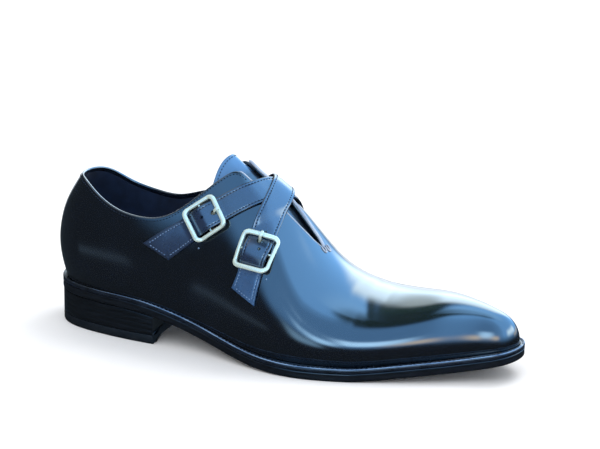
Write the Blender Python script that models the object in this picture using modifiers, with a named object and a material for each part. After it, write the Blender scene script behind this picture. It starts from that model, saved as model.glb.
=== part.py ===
"""Right shoe of a pair of slip-on dress shoes with two crossed, buckled straps.

The heel's back lies near x = 0 and the toe points along +X; the inner, medial side is +Y.
The last is one function, surface(station, angle), and every leather piece lies on it.
"""

import bmesh
import bpy
import numpy as np
from mathutils import Matrix, Vector

# Lengths are millimetres, and metre turns them into the scene's unit.
metre = 0.001

soleLength = 306.0
outsoleThick = 5.0
weltThick = 3.0
insoleThick = 4.0
upperWall = 2.0
gap = 0.3
leatherGap = 0.4

# How far the upper's foot stands in from the sole's ends.
heelInset = 2.5
toeInset = 3.0

heelBreast = 80.0
breastHollow = 4.0
heelEdgeInset = 0.4
topPieceThick = 6.0

slitEnd = 180.0
joinAngle = 85.5
counterReach = 95.0
upperRows = 44

strapWidth = 15.5
strapThick = 1.4
tongueThick = 1.6
tongueBottom = 191.0
tongueTip = 119.5
tongueShoulder = 9.0

# Each strap passes an anchor on the lateral side, turned from straight down by turn degrees.
# back and ahead are its lengths from there, tipSlant and footSlant how far its ends run out
# across one half width, and buckle the place of the centre bar along it. Past the buckle it
# widens by the share flare and drifts across.
straps = {
    "rear": dict(x=137.6, angle=60.0, turn=-50.5, back=123.5, ahead=69.7, tipSlant=-4.7,
                 footSlant=-1.5, buckle=29.5, flare=0.12, drift=0.0),
    "front": dict(x=152.7, angle=60.0, turn=-3.5, back=139.0, ahead=52.8, tipSlant=3.0,
                  footSlant=6.5, buckle=24.5, flare=0.2, drift=-1.4),
}
crossingGap = 0.6
crossingInner = 13.0
crossingOuter = 22.0

# How far a strap stands off the instep's ridge, and along which length.
bridge = 1.0
bridgeReach = 12.0

# Buckle sizes, in the strap's own directions: along, across, and lift above the last.
endBarRadius = 1.45
railRadius = 1.15
centreBarRadius = 0.7
barReach = 10.1
buckleRoom = 1.3
cornerRadius = 3.2
barLift = 2.0
instepBarLift = 4.25
tailBarLift = 5.35
railLift = 4.0
domeReach = 13.0
domeLift = 4.25
tailLift = 1.35
tailReach = 16.0
barShoulder = 1.0
chapeThick = 0.7
chapeLift = 0.7
chapeLength = 9.0
chapeHalfWidth = 6.0
chapeSlot = 1.7
wrapRadius = 1.3
prongWidth = 1.8
prongThick = 0.7
prongHole = 6.4
prongHoleRadius = 1.9

# x from the heel, then the sole's edge on the lateral and on the medial side.
soleRows = [
    (0, 0, 0), (9, -21.5, 21), (34, -33, 31.5), (68, -38, 29), (112, -41.5, 22.5),
    (145, -50.5, 28.5), (175, -55.6, 40), (205, -51, 48.5), (235, -40.3, 47.5),
    (262, -28.8, 39.5), (284, -18.8, 29), (299, -11.5, 19.5), (soleLength, 4.2, 4.2),
]

# Each row below is an x and the value there.
bottomRows = [
    (-10, 22.4), (0, 22), (40, 20.9), (68, 19.9), (95, 14.8), (125, 7.2), (155, 1.5),
    (180, 0.1), (200, -0.4), (220, 0.6), (250, 4.2), (280, 8), (306, 13.2),
]
marginRows = [(0, 1.8), (60, 1.8), (110, 2.6), (145, 4.5), (175, 5.5), (205, 5), (250, 4.8),
              (285, 5.4), (306, 5.6)]
roofRows = [
    (0, 107), (40, 105.5), (80, 105.5), (110, 105.3), (130, 101.8), (140, 97.1), (160, 83.6),
    (185, 53.5), (210, 38.6), (235, 33.8), (255, 32.3), (272, 28.7), (286, 23.2), (296, 16.8),
]
bellyRows = [(0, 0.22), (60, 0.20), (120, 0.17), (170, 0.19), (210, 0.23), (245, 0.22),
             (270, 0.16), (288, 0.09), (306, 0.03)]
taperRows = [(0, 0.05), (60, 0.08), (110, 0.16), (150, 0.16), (200, 0.06), (250, 0), (306, 0)]
skewRows = [(0, 0), (60, 0), (110, 3), (160, 5), (200, 4), (250, 0), (306, 0)]

# Height above the upper's foot, and how far the heel's back leans forward there.
leanRows = [(-10, 4), (0, 0.2), (10, -3), (22, -4.8), (36, -3.3), (50, 1.5), (66, 11.5),
            (80, 21), (110, 41)]

# x, then the top edge's angle up the lateral and up the medial side, in degrees.
collarRows = [
    (-12, 30, 30), (2.5, 32.3, 32.3), (14, 32.5, 30.5), (30, 29, 25.5), (50, 23.8, 22.2),
    (70, 22.8, 23.2), (88, 28, 30.3), (103, 39.5, 40), (110, 47, 49), (116, 54.6, 58),
    (120, 60.3, 65), (125, 68, 73.8), (129, 71.6, 80), (134, 71.9, 86), (141, 72, 88.5),
    (150, 72.2, 89.3), (159, 72.8, 89.3), (167, 75.4, 91), (173, 78.8, 91.6),
    (177.5, 82.2, 92.5), (slitEnd, 85.5, 94.5),
]

# x, and the half angle that the tongue spans there, in degrees.
tongueRows = [(110, 50), (120, 49), (135, 43), (150, 34), (170, 22), (192, 15)]


def spline(rows, at, column=1, period=0.0):
    """Smooth cubic through the rows' values, closed on itself where a period is given."""
    rows = np.array(rows, float)
    knots, values = rows[:, 0], rows[:, column]
    at = np.asarray(at, float)
    if period:
        knots, values = np.append(knots, knots[0] + period), np.append(values, values[0])
        at = (at - knots[0]) % period + knots[0]
    count, span = len(knots), np.diff(knots)
    matrix, right = np.eye(count), np.zeros(count)
    slope = np.diff(values) / span
    for i in range(1, count - 1):
        matrix[i, i - 1:i + 2] = span[i - 1], 2 * (span[i - 1] + span[i]), span[i]
        right[i] = 6 * (slope[i] - slope[i - 1])
    if period:
        matrix[0, -1] = -1
        matrix[-1] = 0
        matrix[-1, :2] = 2 * span[0], span[0]
        matrix[-1, -2:] += span[-1], 2 * span[-1]
        right[-1] = 6 * (slope[0] - slope[-1])
    bend = np.linalg.solve(matrix, right)
    i = np.clip(np.searchsorted(knots, at, side="right") - 1, 0, count - 2)
    a, b = (knots[i + 1] - at) / span[i], (at - knots[i]) / span[i]
    cubic = (a**3 - a) * bend[i] + (b**3 - b) * bend[i + 1]
    return a * values[i] + b * values[i + 1] + cubic * span[i]**2 / 6


def edgeStations():
    """Length along the sole's edge at each row, as the mean of its two sides."""
    x, lateral, medial = np.array(soleRows, float).T
    step = (np.hypot(np.diff(x), np.diff(lateral)) + np.hypot(np.diff(x), np.diff(medial))) / 2
    return np.append(0, np.cumsum(step))


def edgeLoop():
    """Rows of station, x and y round the sole: lateral stations count down from the heel."""
    x, lateral, medial = np.array(soleRows, float).T
    station = edgeStations()
    ahead = np.column_stack([station, x, medial])[:-1]
    behind = np.column_stack([-station, x, lateral])[:0:-1]
    return np.vstack([behind, ahead])


toeStation = edgeStations()[-1]
soleLoop = edgeLoop()
toeTip = soleLength - toeInset


def outline(station, inset=0.0):
    """Sole edge, lateral for a station below 0 and medial above it, moved in by inset."""
    def edge(at):
        return np.stack([spline(soleLoop, at, column, 2 * toeStation) for column in (1, 2)], -1)
    station = np.asarray(station, float)
    run = edge(station + 0.01) - edge(station - 0.01)
    inward = np.stack([run[..., 1], -run[..., 0]], -1)
    inward /= np.linalg.norm(inward, axis=-1, keepdims=True)
    return edge(station) + inward * np.asarray(inset)[..., None]


def soleBottom(x):
    return np.maximum(spline(bottomRows, x), 0)


def featherEdge(station, inset=0.0):
    """Where the upper meets the welt, moved in by inset."""
    x = outline(station)[..., 0]
    y = outline(station, spline(marginRows, x) + inset)[..., 1]
    ends = heelInset + toeInset + 2 * inset
    return heelInset + inset + x * (1 - ends / soleLength), y


def roof(x):
    """Height of the instep ridge above the welt; it closes round at the toe's tip."""
    x = np.asarray(x, float)
    rows = np.array(roofRows, float)
    place = np.sqrt(1 - rows[:, 0] / toeTip)
    front = np.column_stack([place, rows[:, 1]])[::-1]
    mirrored = np.vstack([-front[::-1], [[0, 0]], front])
    return spline(mirrored, np.sqrt(np.clip(1 - x / toeTip, 0, None)))


def footAngle(x):
    belly = spline(bellyRows, x)
    return -np.arcsin(belly / (1 - belly))


def surface(station, angle):
    """Last point: angle 0 is the lateral belly, a quarter turn the ridge, a half the medial."""
    x, lateral = featherEdge(-station)
    medial = featherEdge(station)[1]
    belly, taper, foot = spline(bellyRows, x), spline(taperRows, x), footAngle(x)
    rise = np.sin(angle)
    half = (medial - lateral) / 2 / (np.cos(foot) * (1 - taper * np.sin(foot)**2))
    up = roof(x) * (belly + (1 - belly) * rise)
    skew = spline(skewRows, x) * np.maximum(rise, 0)**3
    y = (medial + lateral) / 2 - half * np.cos(angle) * (1 - taper * rise**2) + skew
    lean = spline(leanRows, up) * np.clip(1 - x / counterReach, 0, 1)**2
    return np.stack([x + lean, y, soleBottom(x) + outsoleThick + weltThick + up], -1)


def collarAngle(x, side):
    """Angle of the upper's top edge, on the lateral side for -1 and the medial for 1."""
    join = joinAngle if side < 0 else 180 - joinAngle
    degrees = spline(collarRows, np.minimum(x, slitEnd), 1 if side < 0 else 2)
    degrees = np.where(x > slitEnd - 0.01, join, np.minimum(degrees, join))
    return np.radians(degrees if side < 0 else 180 - degrees)


def stationAt(x):
    fine = np.linspace(0, toeStation, 2000)
    return np.interp(x, featherEdge(fine)[0], fine)


def unit(vector):
    return vector / np.linalg.norm(vector, axis=-1, keepdims=True)


def dot(a, b):
    return (a * b).sum(-1)


def tangents(station, angle):
    ds, da = 0.05, 0.001
    along = (surface(station + ds, angle) - surface(station - ds, angle)) / (2 * ds)
    around = (surface(station, angle + da) - surface(station, angle - da)) / (2 * da)
    return along, around


def outward(station, angle):
    return unit(np.cross(*tangents(station, angle)))


def walk(station, angle, heading, stride, count):
    """Straightest paths over the last: the place and heading after each stride."""
    path = [(station, angle, heading)]
    for _ in range(count):
        along, around = tangents(station, angle)
        out = unit(np.cross(along, around))
        heading = unit(heading - out * dot(heading, out)[..., None])
        aa, ab, bb = dot(along, along), dot(along, around), dot(around, around)
        ha, hb = dot(heading, along), dot(heading, around)
        area = aa * bb - ab * ab
        station = station + stride * (ha * bb - hb * ab) / area
        angle = angle + stride * (hb * aa - ha * ab) / area
        path.append((station, angle, heading))
    return path


class Strap:
    """A straight strip laid over the last; s runs along it, v across it."""

    def __init__(self, x, angle, turn, back, ahead, tipSlant, footSlant, buckle, flare, drift):
        self.start, self.end = -back, ahead
        self.tipSlant, self.footSlant, self.buckle = tipSlant, footSlant, buckle
        self.flare, self.drift = flare, drift
        station, angle = stationAt(np.array([x])), np.radians([angle])
        along, around = tangents(station, angle)
        down = unit(-around)
        forward = unit(np.cross(outward(station, angle), down))
        forward *= np.sign(dot(forward, along))[..., None]
        turn = np.radians(turn)
        heading = down * np.cos(turn) + forward * np.sin(turn)
        spare = 8
        ahead, back = int(ahead) + spare, int(back) + spare
        front = walk(station, angle, heading, 1.0, ahead)
        rear = walk(station, angle, -heading, 1.0, back)
        steps = [(a, b, -c) for a, b, c in rear[:0:-1]] + front
        self.places = np.arange(-back, ahead + 1)
        self.stations = np.array([step[0][0] for step in steps])
        self.angles = np.array([step[1][0] for step in steps])
        self.headings = np.array([step[2][0] for step in steps])
        self.spine = surface(self.stations, self.angles)
        self.ridge = np.interp(np.pi / 2, self.angles[::-1], self.places[::-1])

    def lay(self, s, v, lift):
        """World points at s along and v across, lifted off the last."""
        station = np.interp(s, self.places, self.stations)
        angle = np.interp(s, self.places, self.angles)
        heading = [np.interp(s, self.places, column) for column in self.headings.T]
        heading = unit(np.stack(heading, -1))
        across = np.cross(outward(station, angle), heading)
        tail = smooth((s - self.buckle - 12) / 20)
        v = v * (1 + self.flare * tail) + self.drift * tail
        strides = 4
        station, angle, _ = walk(station, angle, across, v / strides, strides)[-1]
        return surface(station, angle) + outward(station, angle) * np.asarray(lift)[..., None]

    def underside(self, s):
        """Lift of the lower face, which rides the chape, the centre bar and the ridge."""
        away = s - self.buckle
        dome = np.where(abs(away) < domeReach, np.cos(np.pi / 2 * away / domeReach)**2, 0)
        tail = smooth((away - 1) / 3) * smooth((tailReach - away) / 6)
        base = leatherGap + (tailLift - leatherGap) * tail
        ridge = bridge * np.exp(-((s - self.ridge) / bridgeReach)**2)
        return base + (domeLift - base) * dome + ridge


def smooth(x):
    x = np.clip(x, 0, 1)
    return x * x * (3 - 2 * x)


def clearScene():
    for obj in list(bpy.data.objects):
        bpy.data.objects.remove(obj)


def material(name, colour, roughness, metallic=0.0):
    look = bpy.data.materials.new(name)
    look.use_nodes = True
    shader = look.node_tree.nodes["Principled BSDF"]
    shader.inputs["Base Color"].default_value = (*colour, 1)
    shader.inputs["Roughness"].default_value = roughness
    shader.inputs["Metallic"].default_value = metallic
    return look


def addSheet(mesh, shape, rows, columns, missing=None):
    """A grid whose points are shape(u, v), less the faces whose middle missing(u, v) names."""
    grid = bmesh.new()
    bmesh.ops.create_grid(grid, x_segments=rows, y_segments=columns, size=0.5)
    if missing:
        middles = [(face, face.calc_center_median()) for face in grid.faces]
        dropped = [face for face, at in middles if missing(at.x + 0.5, at.y + 0.5)]
        bmesh.ops.delete(grid, geom=dropped, context="FACES")
    place = np.array([vert.co[:2] for vert in grid.verts]) + 0.5
    for vert, point in zip(grid.verts, shape(*place.T) * metre):
        vert.co = point
    data = bpy.data.meshes.new("sheet")
    grid.to_mesh(data)
    grid.free()
    mesh.from_mesh(data)
    bpy.data.meshes.remove(data)


def weld(mesh):
    bmesh.ops.remove_doubles(mesh, verts=mesh.verts, dist=0.01 * metre)
    bmesh.ops.dissolve_degenerate(mesh, edges=mesh.edges, dist=0.001 * metre)


def addPiece(name, mesh, look):
    """Links a bmesh as a named object, with its origin at the middle of its box."""
    data = bpy.data.meshes.new(name)
    mesh.to_mesh(data)
    mesh.free()
    corners = np.array([vert.co for vert in data.vertices])
    middle = Vector((corners.min(0) + corners.max(0)) / 2)
    data.transform(Matrix.Translation(-middle))
    data.materials.append(look)
    obj = bpy.data.objects.new(name, data)
    obj.location = middle
    obj.parent = stand
    shoe.objects.link(obj)
    return obj


def thicken(obj, thickness, offset):
    """Gives a sheet its thickness: offset 1 is outward from it, -1 inward and 0 both ways."""
    shell = obj.modifiers.new("thickness", "SOLIDIFY")
    shell.thickness = thickness * metre
    shell.offset = offset
    shell.use_even_offset = True


def slab(name, plan, bottom, top, rows, columns, look):
    """A solid with plan(u, v) as its outline from above, between two heights that follow x."""
    def upperFace(u, v):
        x, y = plan(u, v)
        return np.stack([x, y, top(x)], -1)
    mesh = bmesh.new()
    addSheet(mesh, upperFace, rows, columns)
    weld(mesh)
    made = bmesh.ops.extrude_face_region(mesh, geom=mesh.faces[:])
    lower = [item for item in made["geom"] if isinstance(item, bmesh.types.BMVert)]
    for vert, z in zip(lower, bottom(np.array([vert.co.x for vert in lower]) / metre)):
        vert.co.z = z * metre
    bmesh.ops.recalc_face_normals(mesh, faces=mesh.faces)
    return addPiece(name, mesh, look)


def between(edge, start, end):
    """Plan of a flat piece from rungs across the sole, station start to station end."""
    def plan(u, v):
        station = start + (end - start) * u
        lateral, medial = edge(-station), edge(station)
        return [a + (b - a) * v for a, b in zip(lateral, medial)]
    return plan


def soleEdge(inset):
    return lambda station: outline(station, inset).T


def makeOutsole():
    plan = between(soleEdge(0.0), 0, toeStation)
    top = lambda x: soleBottom(x) + outsoleThick
    slab("outsole", plan, soleBottom, top, 56, 4, looks["sole"])


def makeWelt():
    """A strip round the upper's foot, with its corners beside the upper's own."""
    def plan(u, v):
        station = lastStation(abs(2 * u - 1)) * np.sign(2 * u - 1)
        x, y = outline(station).T
        innerX, innerY = featherEdge(station, -gap)
        return x + (innerX - x) * v, y + (innerY - y) * v
    bottom = lambda x: soleBottom(x) + outsoleThick + gap
    top = lambda x: soleBottom(x) + outsoleThick + weltThick - gap
    slab("welt", plan, bottom, top, 2 * upperRows, 1, looks["welt"])


def makeInsole():
    inset = upperWall + 3 * gap
    plan = between(lambda station: featherEdge(station, inset), 0, toeStation)
    bottom = lambda x: soleBottom(x) + outsoleThick + gap
    top = lambda x: soleBottom(x) + outsoleThick + gap + insoleThick
    slab("insole", plan, bottom, top, 40, 4, looks["insole"])


def makeHeelLayer(name, bottom, top, look):
    breast = edgeStations()[3] + heelBreast - soleRows[3][0]
    rungs = between(soleEdge(heelEdgeInset), 0, breast)

    def plan(u, v):
        x, y = rungs(u, v)
        return x - breastHollow * 4 * v * (1 - v) * u**3, y
    slab(name, plan, bottom, top, 16, 4, look)


def makeHeel():
    flat = lambda z: lambda x: np.full_like(x, z)
    under = lambda x: soleBottom(x) - gap
    makeHeelLayer("heel_stack", flat(topPieceThick), under, looks["stack"])
    makeHeelLayer("heel_top_piece", flat(0.0), flat(topPieceThick - gap), looks["rubber"])


def lastStation(u):
    """Station of a place from heel 0 to toe 1, with a row of corners at the slit's end."""
    joined = stationAt(slitEnd)
    rear = round(upperRows * joined / toeStation) / upperRows
    return np.interp(u, [0, rear, 1], [0, joined, toeStation])


def makeUpper():
    """The whole upper: a lateral and a medial sheet, joined ahead of the slit.

    Its lowest row of faces is the lasting edge, which stands between welt and insole.
    """
    columns = 11

    def side(which):
        def shape(u, v):
            station, rise = lastStation(u), v if which < 0 else 1 - v
            x = featherEdge(station)[0]
            edge = collarAngle(x, which)
            foot = footAngle(x) if which < 0 else np.pi - footAngle(x)
            up = np.clip((rise * columns - 1) / (columns - 1), 0, 1)
            points = surface(station, foot + (edge - foot) * up)
            points[:, 2] -= (weltThick - gap) * (rise * columns < 0.5)
            return points
        return shape
    mesh = bmesh.new()
    for which in (-1, 1):
        addSheet(mesh, side(which), upperRows, columns)
    weld(mesh)
    thicken(addPiece("upper", mesh, looks["leather"]), upperWall, -1)


def makeTongue():
    depth = upperWall + 2 * leatherGap

    def shape(u, v):
        aside = 2 * v - 1
        tip = tongueTip - tongueShoulder * aside**2 / (aside**2 + 0.25)
        x = tongueBottom + (tip - tongueBottom) * u
        half = np.radians(spline(tongueRows, x))
        station, angle = stationAt(x), np.pi / 2 - aside * half
        return surface(station, angle) - outward(station, angle) * depth
    mesh = bmesh.new()
    addSheet(mesh, shape, 14, 8)
    thicken(addPiece("tongue", mesh, looks["tongue"]), tongueThick, -1)


def strapLift(strap, below):
    """The strap's underside, raised where it crosses over the one below it."""
    def lift(s, v):
        height = strap.underside(s)
        if below is None:
            return height
        point = strap.lay(s, v, height)
        apart = np.linalg.norm(point[:, None] - below.spine[None], axis=-1).min(1)
        over = smooth((crossingOuter - apart) / (crossingOuter - crossingInner))
        return height + (strapThick + crossingGap) * over
    return lift


def makeStrap(name, strap, below=None):
    lift = strapLift(strap, below)

    def shape(u, v):
        aside = 2 * v - 1
        start = strap.start + strap.footSlant * aside
        end = strap.end + strap.tipSlant * aside
        s, v = start + (end - start) * u, aside * strapWidth / 2
        return strap.lay(s, v, lift(s, v))
    mesh = bmesh.new()
    length = strap.end - strap.start
    addSheet(mesh, shape, round(length / 3.6), 4)
    obj = addPiece(name, mesh, looks["strap"])
    thicken(obj, strapThick, 1)
    cutHole(obj, strap)


def cutHole(obj, strap):
    """The hole that the prong comes up through."""
    s = np.array([strap.buckle - prongHole] * 2)
    low, high = strap.lay(s, np.zeros(2), np.array([-1.0, 6.0])) * metre
    mesh = bmesh.new()
    bmesh.ops.create_cone(mesh, cap_ends=True, segments=12, radius1=prongHoleRadius * metre,
                          radius2=prongHoleRadius * metre, depth=np.linalg.norm(high - low))
    data = bpy.data.meshes.new(obj.name + "_hole")
    mesh.to_mesh(data)
    mesh.free()
    cutter = bpy.data.objects.new(data.name, data)
    cutter.location = (low + high) / 2
    cutter.rotation_mode = "QUATERNION"
    cutter.rotation_quaternion = Vector(high - low).to_track_quat("Z", "Y")
    cutter.parent = stand
    hideAsCutter(cutter)
    cut = obj.modifiers.new("prong hole", "BOOLEAN")
    cut.operation, cut.object = "DIFFERENCE", cutter


def hideAsCutter(obj):
    cutters.objects.link(obj)
    obj.hide_render = True
    obj.display_type = "WIRE"


def wire(name, points, radii, closed):
    """A round bar through the points, as a welded mesh."""
    data = bpy.data.curves.new(name, "CURVE")
    data.dimensions = "3D"
    data.bevel_depth = metre
    data.bevel_resolution = 2
    data.use_fill_caps = True
    line = data.splines.new("POLY")
    line.points.add(len(points) - 1)
    line.use_cyclic_u = closed
    for spot, point, radius in zip(line.points, points * metre, radii):
        spot.co = (*point, 1)
        spot.radius = radius
    curve = bpy.data.objects.new(name, data)
    shoe.objects.link(curve)
    graph = bpy.context.evaluated_depsgraph_get()
    mesh = bmesh.new()
    mesh.from_mesh(bpy.data.meshes.new_from_object(curve.evaluated_get(graph)))
    bpy.data.objects.remove(curve)
    bmesh.ops.remove_doubles(mesh, verts=mesh.verts, dist=0.001 * metre)
    bmesh.ops.recalc_face_normals(mesh, faces=mesh.faces)
    return mesh


def frameRoute():
    """Centre line of a buckle's frame from its middle: along, across, lift and bar radius."""
    width = strapWidth / 2 + buckleRoom + railRadius
    turns = np.radians(np.linspace(0, 90, 5))
    along = barReach - cornerRadius + cornerRadius * np.sin(turns)
    across = width - cornerRadius + cornerRadius * np.cos(turns)
    quarter = np.column_stack([along, across])
    flipped = quarter[::-1] * [1, -1]
    middle = [[barReach, across] for across in (3, 0, -3)]
    half = np.vstack([quarter, middle, flipped])
    route = np.vstack([half, [[0, -width]], -half, [[0, width]]])
    outer = smooth((abs(route[:, 0]) - barReach + cornerRadius) / cornerRadius)
    ends = np.where(route[:, 0] > 0, tailBarLift, instepBarLift)
    lift = railLift + (ends - railLift) * outer
    radius = railRadius + (endBarRadius - railRadius) * outer
    return route[:, 0], route[:, 1], lift, radius


def makeFrame(name, strap):
    """Frame and centre bar, joined."""
    along, across, lift, radius = frameRoute()
    ring = wire(name, strap.lay(strap.buckle + along, across, lift), radius, True)
    obj = addPiece(name, ring, looks["steel"])
    level, end = chapeHalfWidth + gap, strapWidth / 2 + buckleRoom + railRadius
    across = np.concatenate([[-end], np.linspace(-level, level, 7), [end]])
    lift = np.where(abs(across) > level, barLift + barShoulder, barLift)
    points = strap.lay(np.full_like(across, strap.buckle), across, lift)
    rod = wire(name + "_bar", points, np.full_like(across, centreBarRadius), False)
    bar = addPiece(name + "_bar", rod, looks["steel"])
    shoe.objects.unlink(bar)
    hideAsCutter(bar)
    join = obj.modifiers.new("centre bar", "BOOLEAN")
    join.operation, join.object = "UNION", bar


def wrap(start, end):
    """Part of a turn round the centre bar, as (s, lift) from it, between two angles."""
    turns = np.radians(np.linspace(start, end, 7))
    return np.column_stack([np.cos(turns), np.sin(turns)]) * wrapRadius + [0, barLift]


def makeStrip(name, strap, route, widths, thickness, look, missing=None):
    """A bent strip through (s, lift) points, its column edges at the widths across."""
    route, widths = np.array(route, float), np.array(widths, float)

    def shape(u, v):
        row = np.round(u * (len(route) - 1)).astype(int)
        column = np.round(v * (len(widths) - 1)).astype(int)
        return strap.lay(strap.buckle + route[row, 0], widths[column], route[row, 1])
    mesh = bmesh.new()
    addSheet(mesh, shape, len(route) - 1, len(widths) - 1, missing)
    thicken(addPiece(name, mesh, look), thickness, 0)


def makeChape(name, strap):
    """The tab that holds a buckle: it wraps the centre bar on each side of the prong."""
    tab = [(chapeLength, chapeLift), (6, chapeLift), (2.6, chapeLift)]
    route = np.vstack([tab, wrap(-90, -320)])
    widths = [-chapeHalfWidth, -chapeSlot, chapeSlot, chapeHalfWidth]
    uncut = (len(tab) - 1) / (len(route) - 1)
    slot = lambda u, v: u > uncut and abs(v - 0.5) < 1 / 6
    makeStrip(name, strap, route, widths, chapeThick, looks["strap"], slot)


def makeProng(name, strap):
    """Wraps the centre bar, passes under the strap, up through its hole and over the bar."""
    reach = [(-3, 0.95), (-4.8, 1.6), (-6.1, 2.5), (-7.1, 4.0), (-7.8, 5.6), (-8.9, 6.5),
             (-10.2, 6.7), (-11.8, 6.3)]
    route = np.vstack([wrap(150, -90), reach])
    half = prongWidth / 2
    makeStrip(name, strap, route, [-half, half], prongThick, looks["steel"])


def standOnFloor():
    """Moves the whole shoe so that the middle of its box's underside is the origin."""
    graph = bpy.context.evaluated_depsgraph_get()
    corners = []
    for obj in shoe.objects:
        shape = obj.evaluated_get(graph)
        corners += [shape.matrix_world @ Vector(corner) for corner in shape.bound_box]
    corners = np.array(corners)
    low, high = corners.min(0), corners.max(0)
    stand.location = (-(low[0] + high[0]) / 2, -(low[1] + high[1]) / 2, -low[2])


clearScene()
shoe = bpy.data.collections.new("crossed_strap_shoe")
cutters = bpy.data.collections.new("cutters")
for collection in (shoe, cutters):
    bpy.context.scene.collection.children.link(collection)
stand = bpy.data.objects.new("stand", None)
bpy.context.scene.collection.objects.link(stand)

looks = {
    "leather": material("polished_leather", (0.012, 0.016, 0.030), 0.18),
    "strap": material("strap_leather", (0.014, 0.019, 0.036), 0.24),
    "tongue": material("tongue_leather", (0.016, 0.022, 0.042), 0.30),
    "insole": material("insole_leather", (0.020, 0.022, 0.032), 0.55),
    "sole": material("sole_edge", (0.008, 0.008, 0.010), 0.40),
    "welt": material("welt_edge", (0.012, 0.012, 0.015), 0.35),
    "stack": material("heel_stack", (0.007, 0.007, 0.009), 0.35),
    "rubber": material("heel_rubber", (0.010, 0.010, 0.010), 0.65),
    "steel": material("polished_steel", (0.80, 0.82, 0.82), 0.12, 1.0),
}

makeOutsole()
makeWelt()
makeInsole()
makeHeel()
makeUpper()
makeTongue()
rear, front = Strap(**straps["rear"]), Strap(**straps["front"])
makeStrap("rear_strap", rear)
makeStrap("front_strap", front, rear)
for name, strap in (("rear", rear), ("front", front)):
    makeFrame(name + "_buckle", strap)
    makeChape(name + "_chape", strap)
    makeProng(name + "_prong", strap)
bpy.context.view_layer.update()
standOnFloor()
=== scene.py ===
import math

import bmesh
import bpy
import numpy as np
from mathutils import Matrix, Vector


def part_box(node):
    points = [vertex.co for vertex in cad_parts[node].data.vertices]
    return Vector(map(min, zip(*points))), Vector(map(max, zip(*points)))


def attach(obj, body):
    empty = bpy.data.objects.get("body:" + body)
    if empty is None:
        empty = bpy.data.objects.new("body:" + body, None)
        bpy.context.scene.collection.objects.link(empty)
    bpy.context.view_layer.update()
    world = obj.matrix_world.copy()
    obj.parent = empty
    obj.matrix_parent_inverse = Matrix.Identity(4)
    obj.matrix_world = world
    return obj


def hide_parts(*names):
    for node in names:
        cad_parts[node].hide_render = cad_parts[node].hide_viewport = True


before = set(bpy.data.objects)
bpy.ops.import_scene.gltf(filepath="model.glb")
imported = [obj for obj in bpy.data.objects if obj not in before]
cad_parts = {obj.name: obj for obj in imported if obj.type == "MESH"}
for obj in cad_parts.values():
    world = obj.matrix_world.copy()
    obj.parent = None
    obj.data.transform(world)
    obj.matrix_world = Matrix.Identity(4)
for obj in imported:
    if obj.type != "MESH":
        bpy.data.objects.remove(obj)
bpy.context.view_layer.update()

mm = 0.001

# All lengths are millimetres. x runs from the heel's back, +y is the medial side. A table's
# rows start with x, and its note names what follows.
last = {
    "length": 306.0,
    "sole": 5.0,
    "welt": 3.0,
    "heelInset": 2.5,
    "toeInset": 3.0,
    "slitEnd": 180.0,
    "joinAngle": 85.5,
    "counterReach": 95.0,
    "outline": [  # the sole's lateral and medial edge
        (0, 0, 0), (9, -21.5, 21), (34, -33, 31.5), (68, -38, 29), (112, -41.5, 22.5),
        (145, -50.5, 28.5), (175, -55.6, 40), (205, -51, 48.5), (235, -40.3, 47.5),
        (262, -28.8, 39.5), (284, -18.8, 29), (299, -11.5, 19.5), (306, 4.2, 4.2),
    ],
    "bottom": [  # the sole's underside above the floor
        (-10, 22.4), (0, 22), (40, 20.9), (68, 19.9), (95, 14.8), (125, 7.2), (155, 1.5),
        (180, 0.1), (200, -0.4), (220, 0.6), (250, 4.2), (280, 8), (306, 13.2),
    ],
    "margin": [  # from the sole's edge in to the upper
        (0, 1.8), (60, 1.8), (110, 2.6), (145, 4.5), (175, 5.5), (205, 5), (250, 4.8),
        (285, 5.4), (306, 5.6),
    ],
    "roof": [  # the instep's ridge above the welt
        (0, 107), (40, 105.5), (80, 105.5), (110, 105.3), (130, 101.8), (140, 97.1),
        (160, 83.6), (185, 53.5), (210, 38.6), (235, 33.8), (255, 32.3), (272, 28.7),
        (286, 23.2), (296, 16.8),
    ],
    "belly": [  # the share of that height at which a section is widest
        (0, 0.22), (60, 0.20), (120, 0.17), (170, 0.19), (210, 0.23), (245, 0.22), (270, 0.16),
        (288, 0.09), (306, 0.03),
    ],
    "taper": [  # the share of its width that a section loses towards its ridge
        (0, 0.05), (60, 0.08), (110, 0.16), (150, 0.16), (200, 0.06), (250, 0), (306, 0),
    ],
    "skew": [  # the ridge towards the medial side
        (0, 0), (60, 0), (110, 3), (160, 5), (200, 4), (250, 0), (306, 0),
    ],
    "lean": [  # by height above the welt and not by x: the heel's back towards the toe
        (-10, 4), (0, 0.2), (10, -3), (22, -4.8), (36, -3.3), (50, 1.5), (66, 11.5),
        (80, 21), (110, 41),
    ],
    "collar": [  # the top edge's angle on the lateral and on the medial side, in degrees
        (-12, 30, 30), (2.5, 32.3, 32.3), (14, 32.5, 30.5), (30, 29, 25.5), (50, 23.8, 22.2),
        (70, 22.8, 23.2), (88, 28, 30.3), (103, 39.5, 40), (110, 47, 49), (116, 54.6, 58),
        (120, 60.3, 65), (125, 68, 73.8), (129, 71.6, 80), (134, 71.9, 86), (141, 72, 88.5),
        (150, 72.2, 89.3), (159, 72.8, 89.3), (167, 75.4, 91), (173, 78.8, 91.6),
        (177.5, 82.2, 92.5), (180, 85.5, 94.5),
    ],
}


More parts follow.
